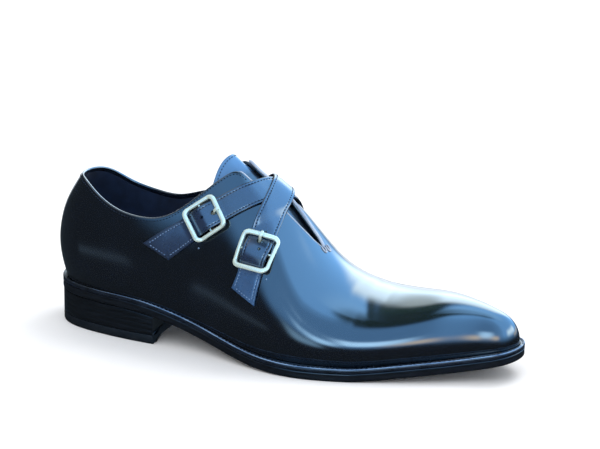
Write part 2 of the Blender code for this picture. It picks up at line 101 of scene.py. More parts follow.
def spline(rows, at, column=1, period=0.0):
    # cubic through the rows with bend 0 at both ends, or closed on itself with a period
    rows = np.array(rows, float)
    knots, values = rows[:, 0], rows[:, column]
    at = np.asarray(at, float)
    if period:
        knots, values = np.append(knots, knots[0] + period), np.append(values, values[0])
        at = (at - knots[0]) % period + knots[0]
    count, span = len(knots), np.diff(knots)
    matrix, right = np.eye(count), np.zeros(count)
    slope = np.diff(values) / span
    for i in range(1, count - 1):
        matrix[i, i - 1:i + 2] = span[i - 1], 2 * (span[i - 1] + span[i]), span[i]
        right[i] = 6 * (slope[i] - slope[i - 1])
    if period:
        matrix[0, -1] = -1
        matrix[-1] = 0
        matrix[-1, :2] = 2 * span[0], span[0]
        matrix[-1, -2:] += span[-1], 2 * span[-1]
        right[-1] = 6 * (slope[0] - slope[-1])
    bend = np.linalg.solve(matrix, right)
    i = np.clip(np.searchsorted(knots, at, side="right") - 1, 0, count - 2)
    a, b = (knots[i + 1] - at) / span[i], (at - knots[i]) / span[i]
    cubic = (a**3 - a) * bend[i] + (b**3 - b) * bend[i + 1]
    return a * values[i] + b * values[i + 1] + cubic * span[i]**2 / 6


def smooth(x):
    # 0 up to 0, 1 from 1, and level at both ends between them
    x = np.clip(x, 0, 1)
    return x * x * (3 - 2 * x)


def bell(x, middle, width):
    # 1 at the middle, falling off on both sides as a Gaussian
    return np.exp(-((x - middle) / width)**2)


def unit(vector):
    # vectors divided by their lengths
    return vector / np.maximum(np.linalg.norm(vector, axis=-1, keepdims=True), 1e-9)


def dot(a, b):
    # the sum of the products of two vectors' parts
    return (a * b).sum(-1)


def mixed(a, b, share):
    # a at share 0, b at share 1, in a straight line
    return a + (b - a) * share


def lengthAlong(path, axis=0):
    # the distance run along one axis of a grid of points, from 0
    steps = np.linalg.norm(np.diff(path, axis=axis), axis=-1)
    return np.insert(np.cumsum(steps, axis), 0, 0.0, axis)


def fullTurn(count):
    # angles once round, ending exactly where they start
    return np.append(np.arange(count) * 2 * np.pi / count, 0.0)


def ringRound(axis, side, count):
    # a unit circle square to the axis, starting at side
    turn = fullTurn(count)[:, None]
    return side * np.cos(turn) + np.cross(axis, side) * np.sin(turn)


def edgeLoop():
    # rows of station, x, y: station is the length along the sole's edge from the heel,
    # below 0 on the lateral side
    x, lateral, medial = np.array(last["outline"], float).T
    step = (np.hypot(np.diff(x), np.diff(lateral)) + np.hypot(np.diff(x), np.diff(medial))) / 2
    station = np.append(0, np.cumsum(step))
    ahead = np.column_stack([station, x, medial])[:-1]
    behind = np.column_stack([-station, x, lateral])[:0:-1]
    return np.vstack([behind, ahead]), station


soleLoop, soleStations = edgeLoop()
toeStation = soleStations[-1]
toeTip = last["length"] - last["toeInset"]


def outline(station, inset=0.0):
    # the sole's edge, moved square to itself by inset
    def edge(at):
        # the closed cubics through the loop's x and through its y
        return np.stack([spline(soleLoop, at, column, 2 * toeStation) for column in (1, 2)], -1)
    station = np.asarray(station, float)
    run = edge(station + 0.01) - edge(station - 0.01)
    inward = unit(np.stack([run[..., 1], -run[..., 0]], -1))
    return edge(station) + inward * np.asarray(inset)[..., None]


def soleBottom(x):
    # the underside's curve, cut flat where it would go below the floor
    return np.maximum(spline(last["bottom"], x), 0)


def featherEdge(station, inset=0.0):
    # where the upper meets the welt: the sole's edge, in by the margin, with x shortened to
    # leave the insets at heel and toe
    x = outline(station)[..., 0]
    y = outline(station, spline(last["margin"], x) + inset)[..., 1]
    ends = last["heelInset"] + last["toeInset"] + 2 * inset
    return last["heelInset"] + inset + x * (1 - ends / last["length"]), y


def roof(x):
    # height of the instep's ridge above the welt, rounded off at the toe by a square root
    rows = np.array(last["roof"], float)
    front = np.column_stack([np.sqrt(1 - rows[:, 0] / toeTip), rows[:, 1]])[::-1]
    mirrored = np.vstack([-front[::-1], [[0, 0]], front])
    return spline(mirrored, np.sqrt(np.clip(1 - x / toeTip, 0, None)))


def footAngle(x):
    # the angle, below 0, at which a section meets the welt
    belly = spline(last["belly"], x)
    return -np.arcsin(belly / (1 - belly))


def surface(station, angle):
    # the last: angle 0 is the lateral belly, a quarter turn the ridge, a half the medial
    # belly. Each section is half an ellipse on the feather line, pinched by taper.
    x, lateral = featherEdge(-station)
    medial = featherEdge(station)[1]
    belly, taper, foot = spline(last["belly"], x), spline(last["taper"], x), footAngle(x)
    rise = np.sin(angle)
    half = (medial - lateral) / 2 / (np.cos(foot) * (1 - taper * np.sin(foot)**2))
    up = roof(x) * (belly + (1 - belly) * rise)
    skew = spline(last["skew"], x) * np.maximum(rise, 0)**3
    y = (medial + lateral) / 2 - half * np.cos(angle) * (1 - taper * rise**2) + skew
    lean = spline(last["lean"], up) * np.clip(1 - x / last["counterReach"], 0, 1)**2
    z = soleBottom(x) + last["sole"] + last["welt"] + up
    return np.stack([x + lean, y, z], -1)


def tangents(station, angle):
    # how the surface runs for each millimetre of station and each radian of angle
    ds, da = 0.05, 0.001
    along = (surface(station + ds, angle) - surface(station - ds, angle)) / (2 * ds)
    around = (surface(station, angle + da) - surface(station, angle - da)) / (2 * da)
    return along, around


def outward(station, angle):
    # square to the last; at the toe's tip, where all angles meet, it points ahead
    station = np.broadcast_to(station, np.broadcast(station, angle).shape)
    normal = unit(np.cross(*tangents(np.minimum(station, toeStation - 0.1), angle)))
    reach = 1.2
    tip = smooth((station - toeStation) / reach + 1)[..., None]
    return unit(mixed(normal, np.array([1.0, 0, 0]), tip))


def above(station, angle, lift):
    # a point off the last, along its outward direction
    return surface(station, angle) + outward(station, angle) * np.asarray(lift)[..., None]


def collarAngle(x, side):
    # angle of the upper's top edge, joined with the other side's ahead of the slit
    slitEnd, join = last["slitEnd"], last["joinAngle"]
    join = join if side < 0 else 180 - join
    degrees = spline(last["collar"], np.minimum(x, slitEnd), 1 if side < 0 else 2)
    degrees = np.where(x > slitEnd - 0.01, join, np.minimum(degrees, join))
    return np.radians(degrees if side < 0 else 180 - degrees)


def stationAt(x):
    # the station whose feather edge lies at x
    fine = np.linspace(0, toeStation, 4000)
    return np.interp(x, featherEdge(fine)[0], fine)


# The row's frame: the outsole's box says where the last's origin went.
low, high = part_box("outsole")
edgeNow = outline(np.linspace(-toeStation, toeStation, 3000))
shift = np.array([low.x / mm - edgeNow[:, 0].min(),
                  (low.y + high.y) / 2 / mm - (edgeNow[:, 1].min() + edgeNow[:, 1].max()) / 2,
                  low.z / mm])


def toRow(points):
    # millimetres on the last, shifted to the row's frame, in metres
    return (np.asarray(points) + shift) * mm


def linear(text):
    # sRGB hex to linear
    value = np.array([int(text[i:i + 2], 16) for i in (1, 3, 5)]) / 255
    value = np.where(value <= 0.04045, value / 12.92, ((value + 0.055) / 1.055)**2.4)
    return (*value.tolist(), 1.0)


def stepped(length, step, edge):
    # places from 0 to length, crowded at both ends over edge
    crowd = edge * np.array([0, 0.06, 0.2, 0.42, 0.7, 1])
    inner = np.linspace(edge, length - edge, max(3, round((length - 2 * edge) / step)))
    return np.concatenate([crowd[:-1], inner, (length - crowd[:-1])[::-1]])


def gridFaces(rows, columns, start=0):
    # four points to a face, counted row by row
    at = np.arange(rows * columns).reshape(rows, columns) + start
    return np.stack([at[:-1, :-1], at[1:, :-1], at[1:, 1:], at[:-1, 1:]], -1).reshape(-1, 4)


def joinGrids(name, grids):
    # one mesh from sheets of points in millimetres, and the point at each face's corner
    points, faces, start = [], [], 0
    for at in grids:
        points.append(at.reshape(-1, 3))
        faces.append(gridFaces(*at.shape[:2], start))
        start += at.shape[0] * at.shape[1]
    faces = np.vstack(faces)
    data = bpy.data.meshes.new(name)
    data.from_pydata(toRow(np.vstack(points)).tolist(), [], faces.tolist())
    return data, faces.ravel()


def weldMesh(data, weld=0.004):
    # points nearer than weld become one, and the faces are turned outwards
    mesh = bmesh.new()
    mesh.from_mesh(data)
    bmesh.ops.remove_doubles(mesh, verts=mesh.verts, dist=weld * mm)
    bmesh.ops.dissolve_degenerate(mesh, edges=mesh.edges, dist=weld * mm / 4)
    bmesh.ops.recalc_face_normals(mesh, faces=mesh.faces)
    mesh.to_mesh(data)
    mesh.free()


def makePiece(name, grids, look, slot, replaced=(), sharp=60.0, weld=0.004):
    # grids are (points, u, v) or (points, u, v, tone) in millimetres: each is a sheet of
    # faces, and they are joined where their edges meet
    data, corners = joinGrids(name, [grid[0] for grid in grids])
    maps, tones = [], []
    for at, u, v, *tone in grids:
        shape = at.shape[:2]
        pair = np.stack([np.broadcast_to(part, shape) for part in (u, v)], -1)
        maps.append(pair.reshape(-1, 2) * mm)
        tones.append(np.broadcast_to(tone[0] if tone else 0.5, shape).ravel())
    layer = data.uv_layers.new(name="map")
    layer.data.foreach_set("uv", np.vstack(maps)[corners].astype(np.float32).ravel())
    attribute = data.attributes.new("tone", "FLOAT", "POINT")
    attribute.data.foreach_set("value", np.concatenate(tones).astype(np.float32))
    weldMesh(data, weld)
    data.shade_smooth()
    data.set_sharp_from_angle(angle=math.radians(sharp))
    return place(name, data, look, slot, replaced)


def addObject(name, data):
    # an object at the origin that shows the data
    made = bpy.data.objects.new(name, data)
    bpy.context.scene.collection.objects.link(made)
    return made


def place(name, data, look, slot, replaced=()):
    # an object for the mesh, with its finish, riding on the shoe
    data.materials.clear()
    data.materials.append(look)
    piece = addObject(name, data)
    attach(piece, "root")
    if replaced:
        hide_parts(*replaced)
    return piece


def combine(piece, grid, operation):
    # the piece joined with, or cut by, the closed shape of one grid
    data, _ = joinGrids(piece.name + "Helper", [grid])
    weldMesh(data)
    helper = addObject(piece.name + "Helper", data)
    change = piece.modifiers.new("combine", "BOOLEAN")
    change.operation, change.object, change.solver = operation, helper, "EXACT"
    bpy.context.view_layer.update()
    graph = bpy.context.evaluated_depsgraph_get()
    made = bpy.data.meshes.new_from_object(
        piece.evaluated_get(graph), preserve_all_data_layers=True, depsgraph=graph)
    piece.modifiers.clear()
    piece.data = made
    bpy.data.objects.remove(helper)
    bpy.data.meshes.remove(data)


def edgeRound(inside, radius):
    # height share of a rounded edge, 0 at the border and 1 from radius inwards
    return np.sqrt(1 - (1 - np.clip(inside / radius, 0, 1))**2)


def pillow(lay, u, v, inside, thickness, radius, tone=0.5):
    # two sheets lay(u, v, lift) that meet at their rounded border; inside is the distance
    # of each point from that border
    half = thickness / 2 * edgeRound(inside, radius)
    return [(lay(u, v, thickness / 2 + side * half), u, v, tone) for side in (1, -1)]


def sweep(path, side, up, width, height, power=2.0, around=16, closed=False):
    # a superellipse of half sizes width and height, carried along the path
    turn = fullTurn(around)
    across = np.sign(np.cos(turn)) * abs(np.cos(turn))**(2 / power)
    rise = np.sign(np.sin(turn)) * abs(np.sin(turn))**(2 / power)
    width, height = (np.broadcast_to(size, len(path))[:, None, None] for size in (width, height))
    at = path[:, None] + side[:, None] * across[None, :, None] * width
    at = at + up[:, None] * rise[None, :, None] * height
    if closed:
        at = np.concatenate([at, at[:1]])
    return at, lengthAlong(at[:, 0])[:, None], turn[None] * 2


def cordAlong(path, out, width, height, around):
    # an oval sweep whose height stays as near to out as the path allows
    ahead = unit(np.gradient(path, axis=0))
    side = unit(np.cross(ahead, out))
    return sweep(path, side, np.cross(side, ahead), width, height, around=around)


def roundedEnds(path, radius):
    # scale of a sweep's section along its path, closing to a point at both ends
    run = lengthAlong(path)
    return edgeRound(np.minimum(run, run[-1] - run), radius)


stitch = {"length": 1.35, "gap": 0.75, "radius": 0.28}
# a stitch from end to end, as shares: of half its length, of its radius for the thread's
# thickness, and of its radius for its height above the leather
stitchShape = np.array([
    (-1, 0.35, -1.1), (-0.86, 0.8, -0.35), (-0.45, 1, 0.3),
    (0.45, 1, 0.3), (0.86, 0.8, -0.35), (1, 0.35, -1.1),
])


def sewn(points, normals, size=stitch, skip=0.0):
    # stitches spaced evenly along a line: their middles, directions, taken over a short
    # reach, and outward sides
    run = lengthAlong(points)
    pitch = size["length"] + size["gap"]
    count = max(1, int((run[-1] - 2 * skip) / pitch))
    middle = skip + (run[-1] - 2 * skip - count * pitch) / 2 + (np.arange(count) + 0.5) * pitch

    def at(place, values):
        # the values at a length along the line
        return np.stack([np.interp(place, run, column) for column in values.T], -1)
    reach = 0.4
    ahead = unit(at(middle + reach, points) - at(middle - reach, points))
    return at(middle, points), ahead, unit(at(middle, normals))


def makeStitches(name, rows, look, slot, size=stitch):
    # each stitch is a bead of six sides whose ends dip into the leather
    centre, ahead, out = (np.vstack(part) for part in zip(*rows))
    out = unit(out - ahead * dot(out, ahead)[..., None])
    sides, rings = 6, len(stitchShape)
    scale = [size["length"] / 2, size["radius"], size["radius"]]
    reach, thick, dip = (stitchShape * scale).T[..., None]
    turn = np.arange(sides) * 2 * np.pi / sides
    local = np.stack(np.broadcast_arrays(
        reach, thick * np.cos(turn), dip + thick * np.sin(turn)), -1).reshape(-1, 3)
    basis = np.stack([ahead, np.cross(ahead, out), out], 1)
    points = centre[:, None] + local[None] @ basis
    ring = np.arange(sides)
    following = (ring + 1) % sides
    strip = np.stack([ring, following, following + sides, ring + sides], -1)
    quads = (strip[None] + np.arange(rings - 1)[:, None, None] * sides).reshape(-1, 4)
    caps = np.stack([ring[::-1], ring + sides * (rings - 1)])
    start = np.arange(len(centre))[:, None, None] * len(local)
    faces = (quads[None] + start).reshape(-1, 4).tolist()
    faces += (caps[None] + start).reshape(-1, sides).tolist()
    data = bpy.data.meshes.new(name)
    data.from_pydata(toRow(points.reshape(-1, 3)).tolist(), [], faces)
    weldMesh(data)
    data.shade_smooth()
    return place(name, data, look, slot)


def addNode(tree, kind, settings=None, inputs=None):
    # adds one node; an input is a plain value or another node's output
    node = tree.nodes.new("ShaderNode" + kind)
    for name, value in (settings or {}).items():
        setattr(node, name, value)
    for name, value in (inputs or {}).items():
        if isinstance(value, bpy.types.NodeSocket):
            tree.links.new(value, node.inputs[name])
        else:
            node.inputs[name].default_value = value
    return node


def newMaterial(name, sockets):
    # the material, its nodes, its shader with the even sockets set, and Object coordinates
    look = bpy.data.materials.new(name)
    look.use_nodes = True
    tree = look.node_tree
    shader = tree.nodes["Principled BSDF"]
    for socket, value in sockets.items():
        shader.inputs[socket].default_value = value
    return look, tree, shader, addNode(tree, "TexCoord").outputs["Object"]


def wire(tree, shader, outputs):
    # links each output to the shader's socket of that name
    for socket, output in outputs.items():
        tree.links.new(output, shader.inputs[socket])


def ramp(tree, source, low, high, colours):
    # colours spread evenly between two values of the source
    share = addNode(tree, "MapRange", inputs={"Value": source, "From Min": low, "From Max": high})
    node = addNode(tree, "ValToRGB", inputs={"Fac": share.outputs[0]})
    parts = node.color_ramp.elements
    while len(parts) < len(colours):
        parts.new(0.5)
    for i, colour in enumerate(colours):
        parts[i].position = i / (len(colours) - 1)
        parts[i].color = linear(colour)
    return node.outputs["Color"]


def polishedCalf(name, dark, body, light, roughness, coat=1.0):
    # Box calf, crust dyed navy over black and wax polished: near black, a clear gloss over
    # a slightly mottled dye, with pores too small to see except where light grazes.
    look, tree, shader, coords = newMaterial(name, {
        "IOR": 1.5, "Specular IOR Level": 1.0, "Coat Weight": coat, "Coat Roughness": 0.08,
        "Coat IOR": 1.7,
    })
    # the per point tone: on the upper it carries a painted sheen on the instep, on the straps a
    # painted sheen on the tails, on the tongue a painted shade
    tone = addNode(tree, "Attribute", {"attribute_name": "tone"}).outputs["Fac"]
    cloud = addNode(tree, "TexNoise", inputs={
        "Vector": coords, "Scale": 1 / 0.022, "Detail": 4.0, "Roughness": 0.6}).outputs["Fac"]
    lowered = addNode(tree, "Math", {"operation": "SUBTRACT"}, {0: tone, 1: 0.25}).outputs[0]
    mottle = addNode(tree, "Math", {"operation": "MULTIPLY_ADD"},
                     {0: cloud, 1: 0.5, 2: lowered}).outputs[0]
    patch = addNode(tree, "TexNoise", inputs={
        "Vector": coords, "Scale": 1 / 0.009, "Detail": 5.0, "Roughness": 0.65}).outputs["Fac"]
    rough = addNode(tree, "MapRange", inputs={
        "Value": patch, "From Min": 0.3, "From Max": 0.7,
        "To Min": roughness * 0.85, "To Max": roughness * 1.25}).outputs[0]
    # pores are about 0.15 mm, drawn at 0.5 mm so that they show
    pores = addNode(tree, "TexVoronoi", inputs={"Vector": coords, "Scale": 1 / 0.0005})
    soft = addNode(tree, "TexNoise", inputs={
        "Vector": coords, "Scale": 1 / 0.0028, "Detail": 3.0}).outputs["Fac"]
    height = addNode(tree, "Math", {"operation": "MULTIPLY_ADD"},
                     {0: pores.outputs["Distance"], 1: 0.3, 2: soft}).outputs[0]
    bump = addNode(tree, "Bump", inputs={
        "Height": height, "Strength": 0.2, "Distance": 0.00002}).outputs[0]
    colour = ramp(tree, mottle, 0.2, 0.85, [dark, body, light])
    wire(tree, shader, {"Base Color": colour, "Roughness": rough, "Normal": bump})
    return look


def dressedEdge(name, dark, light, lines, roughness=0.3):
    # Leather edges inked, waxed and ironed: black with a soft shine, and faint lines where
    # the layers of leather meet.
    look, tree, shader, coords = newMaterial(name, {
        "IOR": 1.5, "Coat Weight": 0.4, "Coat Roughness": 0.2})
    flat = addNode(tree, "Mapping", inputs={"Vector": coords, "Scale": (0.12, 0.12, 1.0)})
    grain = addNode(tree, "TexNoise", inputs={
        "Vector": flat.outputs[0], "Scale": 1 / lines, "Detail": 4.0,
        "Roughness": 0.6}).outputs["Fac"]
    rough = addNode(tree, "MapRange", inputs={
        "Value": grain, "To Min": roughness * 0.8, "To Max": roughness * 1.5}).outputs[0]
    bump = addNode(tree, "Bump", inputs={
        "Height": grain, "Strength": 0.4, "Distance": 0.00008}).outputs[0]
    colour = ramp(tree, grain, 0.3, 0.75, [dark, light])
    wire(tree, shader, {"Base Color": colour, "Roughness": rough, "Normal": bump})
    return look


def softLeather(name, dark, light, roughness, grain):
    # Drum-dyed lining calf, unpolished: matt and even, with a fine pebble of pores.
    look, tree, shader, coords = newMaterial(name, {"IOR": 1.45, "Sheen Weight": 0.08})
    cloud = addNode(tree, "TexNoise", inputs={
        "Vector": coords, "Scale": 1 / 0.012, "Detail": 4.0}).outputs["Fac"]
    pebble = addNode(tree, "TexVoronoi", inputs={"Vector": coords, "Scale": 1 / grain}).outputs[0]
    rough = addNode(tree, "MapRange", inputs={
        "Value": pebble, "To Min": roughness, "To Max": roughness + 0.15}).outputs[0]
    bump = addNode(tree, "Bump", inputs={
        "Height": pebble, "Strength": 0.35, "Distance": 0.0001}).outputs[0]
    colour = ramp(tree, cloud, 0.3, 0.7, [dark, light])
    wire(tree, shader, {"Base Color": colour, "Roughness": rough, "Normal": bump})
    return look


def paleNickelPaintedReflection(name, colour, roughness):
    # Cast zinc plated with nickel: pale, half its light sent back diffused from its colour, a
    # painted reflection, very slightly waved, with hairline scratches from wear.
    look, tree, shader, coords = newMaterial(name, {
        "Base Color": linear(colour), "Metallic": 0.5, "Coat Weight": 0.4,
        "Coat Roughness": 0.1})
    stretched = addNode(tree, "Mapping", inputs={
        "Vector": coords, "Scale": (1.0, 0.08, 1.0), "Rotation": (0.3, 0.4, 0.8)}).outputs[0]
    hair = addNode(tree, "TexNoise", inputs={
        "Vector": stretched, "Scale": 1 / 0.0004, "Detail": 3.0}).outputs["Fac"]
    rough = addNode(tree, "MapRange", inputs={
        "Value": hair, "From Min": 0.3, "From Max": 0.7,
        "To Min": roughness * 0.8, "To Max": roughness * 1.4}).outputs[0]
    wave = addNode(tree, "TexNoise", inputs={
        "Vector": coords, "Scale": 1 / 0.004, "Detail": 1.0}).outputs["Fac"]
    bump = addNode(tree, "Bump", inputs={
        "Height": wave, "Strength": 0.25, "Distance": 0.0001}).outputs[0]
    wire(tree, shader, {"Roughness": rough, "Normal": bump})
    return look


def waxedThread(name, dark, light):
    # Polyester sewing thread, twisted and waxed: matt with fine diagonal plies.
    look, tree, shader, coords = newMaterial(name, {"IOR": 1.5, "Roughness": 0.5})
    turned = addNode(tree, "Mapping", inputs={
        "Vector": coords, "Rotation": (0.6, 0.5, 0.7)}).outputs[0]
    plies = addNode(tree, "TexWave", inputs={"Vector": turned, "Scale": 1 / 0.0025}).outputs["Fac"]
    bump = addNode(tree, "Bump", inputs={
        "Height": plies, "Strength": 0.5, "Distance": 0.00005}).outputs[0]
    colour = ramp(tree, plies, 0.0, 1.0, [dark, light])
    wire(tree, shader, {"Base Color": colour, "Normal": bump})
    return look


def mouldedRubber(name, dark, light):
    # Vulcanised rubber from a mould: dull black with a grainy surface and paler scuffs.
    look, tree, shader, coords = newMaterial(name, {"IOR": 1.5})
    scuff = addNode(tree, "TexNoise", inputs={
        "Vector": coords, "Scale": 1 / 0.006, "Detail": 6.0, "Roughness": 0.7}).outputs["Fac"]
    grit = addNode(tree, "TexNoise", inputs={
        "Vector": coords, "Scale": 1 / 0.0005, "Detail": 2.0}).outputs["Fac"]
    rough = addNode(tree, "MapRange", inputs={
        "Value": grit, "To Min": 0.5, "To Max": 0.8}).outputs[0]
    bump = addNode(tree, "Bump", inputs={
        "Height": grit, "Strength": 0.4, "Distance": 0.00008}).outputs[0]
    colour = ramp(tree, scuff, 0.4, 0.8, [dark, light])
    wire(tree, shader, {"Base Color": colour, "Roughness": rough, "Normal": bump})
    return look


looks = {
    "upper": polishedCalf("polishedCalf", "#040508", "#070c15", "#0d1726", 0.15),
    # the straps' and the tongue's calf: the upper's leather painted lighter and bluer, a painted
    # sheen of the sky on the instep
    "strap": polishedCalf("strapCalfPaintedSheen", "#0b1524", "#182b49", "#305886", 0.26),
    "tongue": polishedCalf("tongueCalfPaintedSheen", "#0a111c", "#38648f", "#4f83b0", 0.34, 0.5),
    "lining": softLeather("drumDyedLiningLeather", "#0f1a2c", "#1c2e4c", 0.5, 0.0009),
    "sock": softLeather("drumDyedSockLeather", "#0c131f", "#172337", 0.45, 0.0011),
    # the slit's rims painted pale blue-grey: a painted highlight on their rolled edges
    "rim": softLeather("rimLeatherPaintedHighlight", "#8396b2", "#c2d2e6", 0.35, 0.0009),
    "edge": dressedEdge("waxedSoleEdge", "#06070a", "#10151d", 0.0012),
    "welt": dressedEdge("waxedWeltLeather", "#080b11", "#172233", 0.0014, 0.24),
    # a pale blue bead on the welt's top edge: a painted highlight
    "bead": dressedEdge("weltEdgePaintedHighlight", "#3d5f8c", "#8fb4dc", 0.0014, 0.2),
    "heel": dressedEdge("waxedHeelLeather", "#050608", "#0e1218", 0.0016),
    "rubber": mouldedRubber("mouldedHeelRubber", "#0a0a0b", "#19191b"),
    # pale mint nickel: partly its own pale colour, partly a painted reflection of the studio
    "steel": paleNickelPaintedReflection("bucklePaintedReflection", "#e0f1e5", 0.3),
    # nickel tinted blue-grey: a painted reflection of the sky
    "tack": paleNickelPaintedReflection("tackPaintedReflection", "#7f95ad", 0.35),
    "thread": waxedThread("waxedDarkThread", "#04070e", "#0f1a2e"),
    # the dark thread painted paler and bluer where it runs on the tails: a painted sheen
    "tailThread": waxedThread("waxedTailThreadPaintedSheen", "#3f5f88", "#88a6cc"),
    # the dark welt thread painted mid blue for the stitches' small highlights: a painted highlight
    "paleThread": waxedThread("waxedWeltThreadPaintedHighlight", "#2c3a50", "#66799a"),
}
print("materials ready")

upper = {
    "rows": 250,
    "columns": 60,
    "innerColumns": 20,
    "liningRows": 130,
    "liningColumns": 24,
    "leather": 1.15,
    "rollRadius": 1.0,
    "bindingDepth": 2.0,
    "bindingWidth": 3.2,
    "slitFade": 7.0,
    "liningTop": 1.2,
    "liningBottom": 2.0,
    "liningStart": 0.15,
    "skirt": 2.7,
    "seamDepth": 0.25,
    "seamWidth": 0.5,
    "weld": 0.012,
    "girth": 40.0,
    # stations of the first rows, close by the back seam
    "backRows": [0, 0.15, 0.3, 0.45, 0.65, 0.9, 1.3, 2.0],
    "backEnd": 3.0,
    # the tone of each face, and how far the outer one changes at the ends, foot and instep; the
    # instep's lighter tone is a painted sheen
    "tones": {"face": 0.48, "ends": -0.16, "foot": -0.14, "footShare": 0.07, "instep": 0.22,
              "roll": 0.62, "binding": 0.55, "back": 0.4, "edge": 0.2},
    # each crease: x on the ridge, how far forward it runs on each side, depth, width, reach
    "creases": [
        (203, 7, 0.16, 2.6, 0.75), (211.5, 9, 0.20, 3.0, 0.95), (221, 11, 0.14, 3.4, 0.85),
    ],
    "creaseFade": 0.5,
    "creaseWave": 1.2,
    "creaseWaves": 5.0,
}


def upperStations(count):
    # rows close at the back seam, even over the rest, with one row at the slit's end
    joined = stationAt(last["slitEnd"])
    share = joined / toeStation
    back = upper["backRows"]
    rear = np.linspace(upper["backEnd"], joined, round(count * share))
    front = np.linspace(joined, toeStation, round(count * (1 - share)))[1:]
    return np.concatenate([back, rear, front]), len(back) + len(rear) - 1


def dents(station, angle):
    # how far the leather lies below the last: a bell across the back seam, and one across
    # each crease over the toes, whose line waves and bends forward at the sides
    depth = upper["seamDepth"] * bell(station, 0, upper["seamWidth"])
    x = featherEdge(station)[0]
    aside = np.cos(angle)
    for middle, forward, deep, wide, reach in upper["creases"]:
        wave = upper["creaseWave"] * np.sin(upper["creaseWaves"] * aside + middle)
        fade = smooth((reach - abs(aside)) / upper["creaseFade"])
        depth = depth + deep * fade * bell(x, middle + forward * aside**2 + wave, wide)
    return depth


def skin(station, angle, depth=0.0):
    # a point of the upper at a depth below the last's surface
    return above(station, angle, -depth - dents(station, angle))


def sideEdges(s, side):
    # angles of one side's top edge and foot, and the angle that a millimetre takes at the top
    x = featherEdge(s)[0]
    edge = collarAngle(x, side)
    foot = footAngle(x) if side < 0 else np.pi - footAngle(x)
    return edge, foot, side / np.linalg.norm(tangents(s, edge)[1], axis=-1).clip(1)


def toneAt(x, rise, up):
    # toe, heel and the feather line darker, and the instep's top a little lighter and bluer, a
    # painted sheen; each a smooth step in x or a bell above the foot
    tones = upper["tones"]
    ends = smooth((40 - x) / 60) + smooth((x - 262) / 38)
    # painted sheen: the instep's top lighter and bluer, the more the surface faces up
    instep = smooth((x - 120) / 40) * smooth((262 - x) / 50) * np.clip(rise, 0, 1)**3
    foot = tones["foot"] * bell(up, 0, tones["footShare"])
    return tones["face"] + tones["ends"] * ends.clip(0, 1) + foot + tones["instep"] * instep


def makeUpper():
    # outer face, rolled top edge, inner face and lasting edge of both sides, as one shell
    stations, slitRow = upperStations(upper["rows"])
    s = stations[:, None]
    x = featherEdge(s)[0]
    fade = smooth((last["slitEnd"] - x) / upper["slitFade"])
    radius = upper["rollRadius"] * fade
    width = upper["bindingWidth"] * fade
    inner = mixed(upper["leather"], upper["bindingDepth"], fade)
    rear, tones, grids = slice(0, slitRow + 1), upper["tones"], []
    for side in (-1, 1):
        edge, foot, perMm = sideEdges(s, side)
        # outer face, foot to the start of the roll
        up = np.linspace(0, 1, upper["columns"] + 1)[None]
        up = up + 0.012 * np.sin(2 * np.pi * up)
        angle = mixed(foot, edge + perMm * radius, up)
        grids.append((skin(s, angle), s, angle * upper["girth"], toneAt(x, np.sin(angle), up)))
        # the roll: half a turn from the outer face over to the binding
        turn = np.linspace(0, np.pi, 11)[None]
        below = radius * (1 - np.sin(turn))
        depth = inner * (1 - np.cos(turn)) / 2
        roll = skin(s[rear], (edge + perMm * below)[rear], depth[rear])
        grids.append((roll, s[rear], turn * 3, tones["roll"]))
        # binding inside, then a step out to the leather's back
        across = np.array([0, 0.25, 0.5, 0.75, 1.0, 1.03])[None]
        step = np.array([1, 1, 1, 1, 0.9, 0])[None]
        below = radius + (width - radius) * across
        depth = mixed(upper["leather"], inner, step)
        binding = skin(s[rear], (edge + perMm * below)[rear], depth[rear])
        grids.append((binding, s[rear], 3 + below[rear], tones["binding"]))
        # inner face, from there down to the foot
        down = np.linspace(0, 1, upper["innerColumns"] + 1)[None]
        angle = mixed(edge + perMm * below[:, -1:], foot, down)
        back = skin(s, angle, upper["leather"])
        grids.append((back, s, angle * upper["girth"], tones["back"]))
        # lasting edge between welt and insole
        out, inside = skin(s, foot), skin(s, foot, upper["leather"])
        drop = np.array([0, 0, upper["skirt"]])
        share = np.array([0, 0.5, 1])[None, :, None]
        for face in (out - share * drop, inside - share * drop, mixed(out, inside, share) - drop):
            grids.append((face, s, 0, tones["edge"]))
    return makePiece("upperLeather", grids, looks["upper"], "upper", ["upper"], 50, upper["weld"])


def makeLining():
    # a second shell inside the upper, from below its binding down to the foot
    stations, slitRow = upperStations(upper["liningRows"])
    s = stations[:, None]
    fade = smooth((last["slitEnd"] - featherEdge(s)[0]) / upper["slitFade"])
    grids = []
    for side in (-1, 1):
        edge, foot, perMm = sideEdges(s, side)
        start = edge + perMm * (upper["bindingWidth"] + upper["liningStart"]) * fade
        angle = mixed(start, foot, np.linspace(0, 1, upper["liningColumns"] + 1)[None])
        sheets = [skin(s, angle, upper[depth]) for depth in ("liningTop", "liningBottom")]
        grids += [(sheet, s, angle * upper["girth"]) for sheet in sheets]
        for column, rows in ((0, slice(0, slitRow + 1)), (-1, slice(None))):
            ends = np.stack([sheet[rows, column] for sheet in sheets], 1)
            grids.append((ends, s[rows], 0))
    return makePiece("liningLeather", grids, looks["lining"], "upper", [], 50, upper["weld"])


rims = {
    "start": 128.0,
    "radius": {-1: 0.42, 1: 1.15},
    "flatness": 0.8,
    "sink": 0.6,
    "endRound": 2.0,
    # each loop: x and angle of its middle, and half its length
    "loops": [(180.5, 84.5, 2.4), (181.0, 91.5, 2.6)],
    "loopRadius": 0.5,
    "loopTurn": 2.5,
    "loopWidth": 0.55,
    "loopLift": 0.25,
    "loopEndRound": 0.6,
}


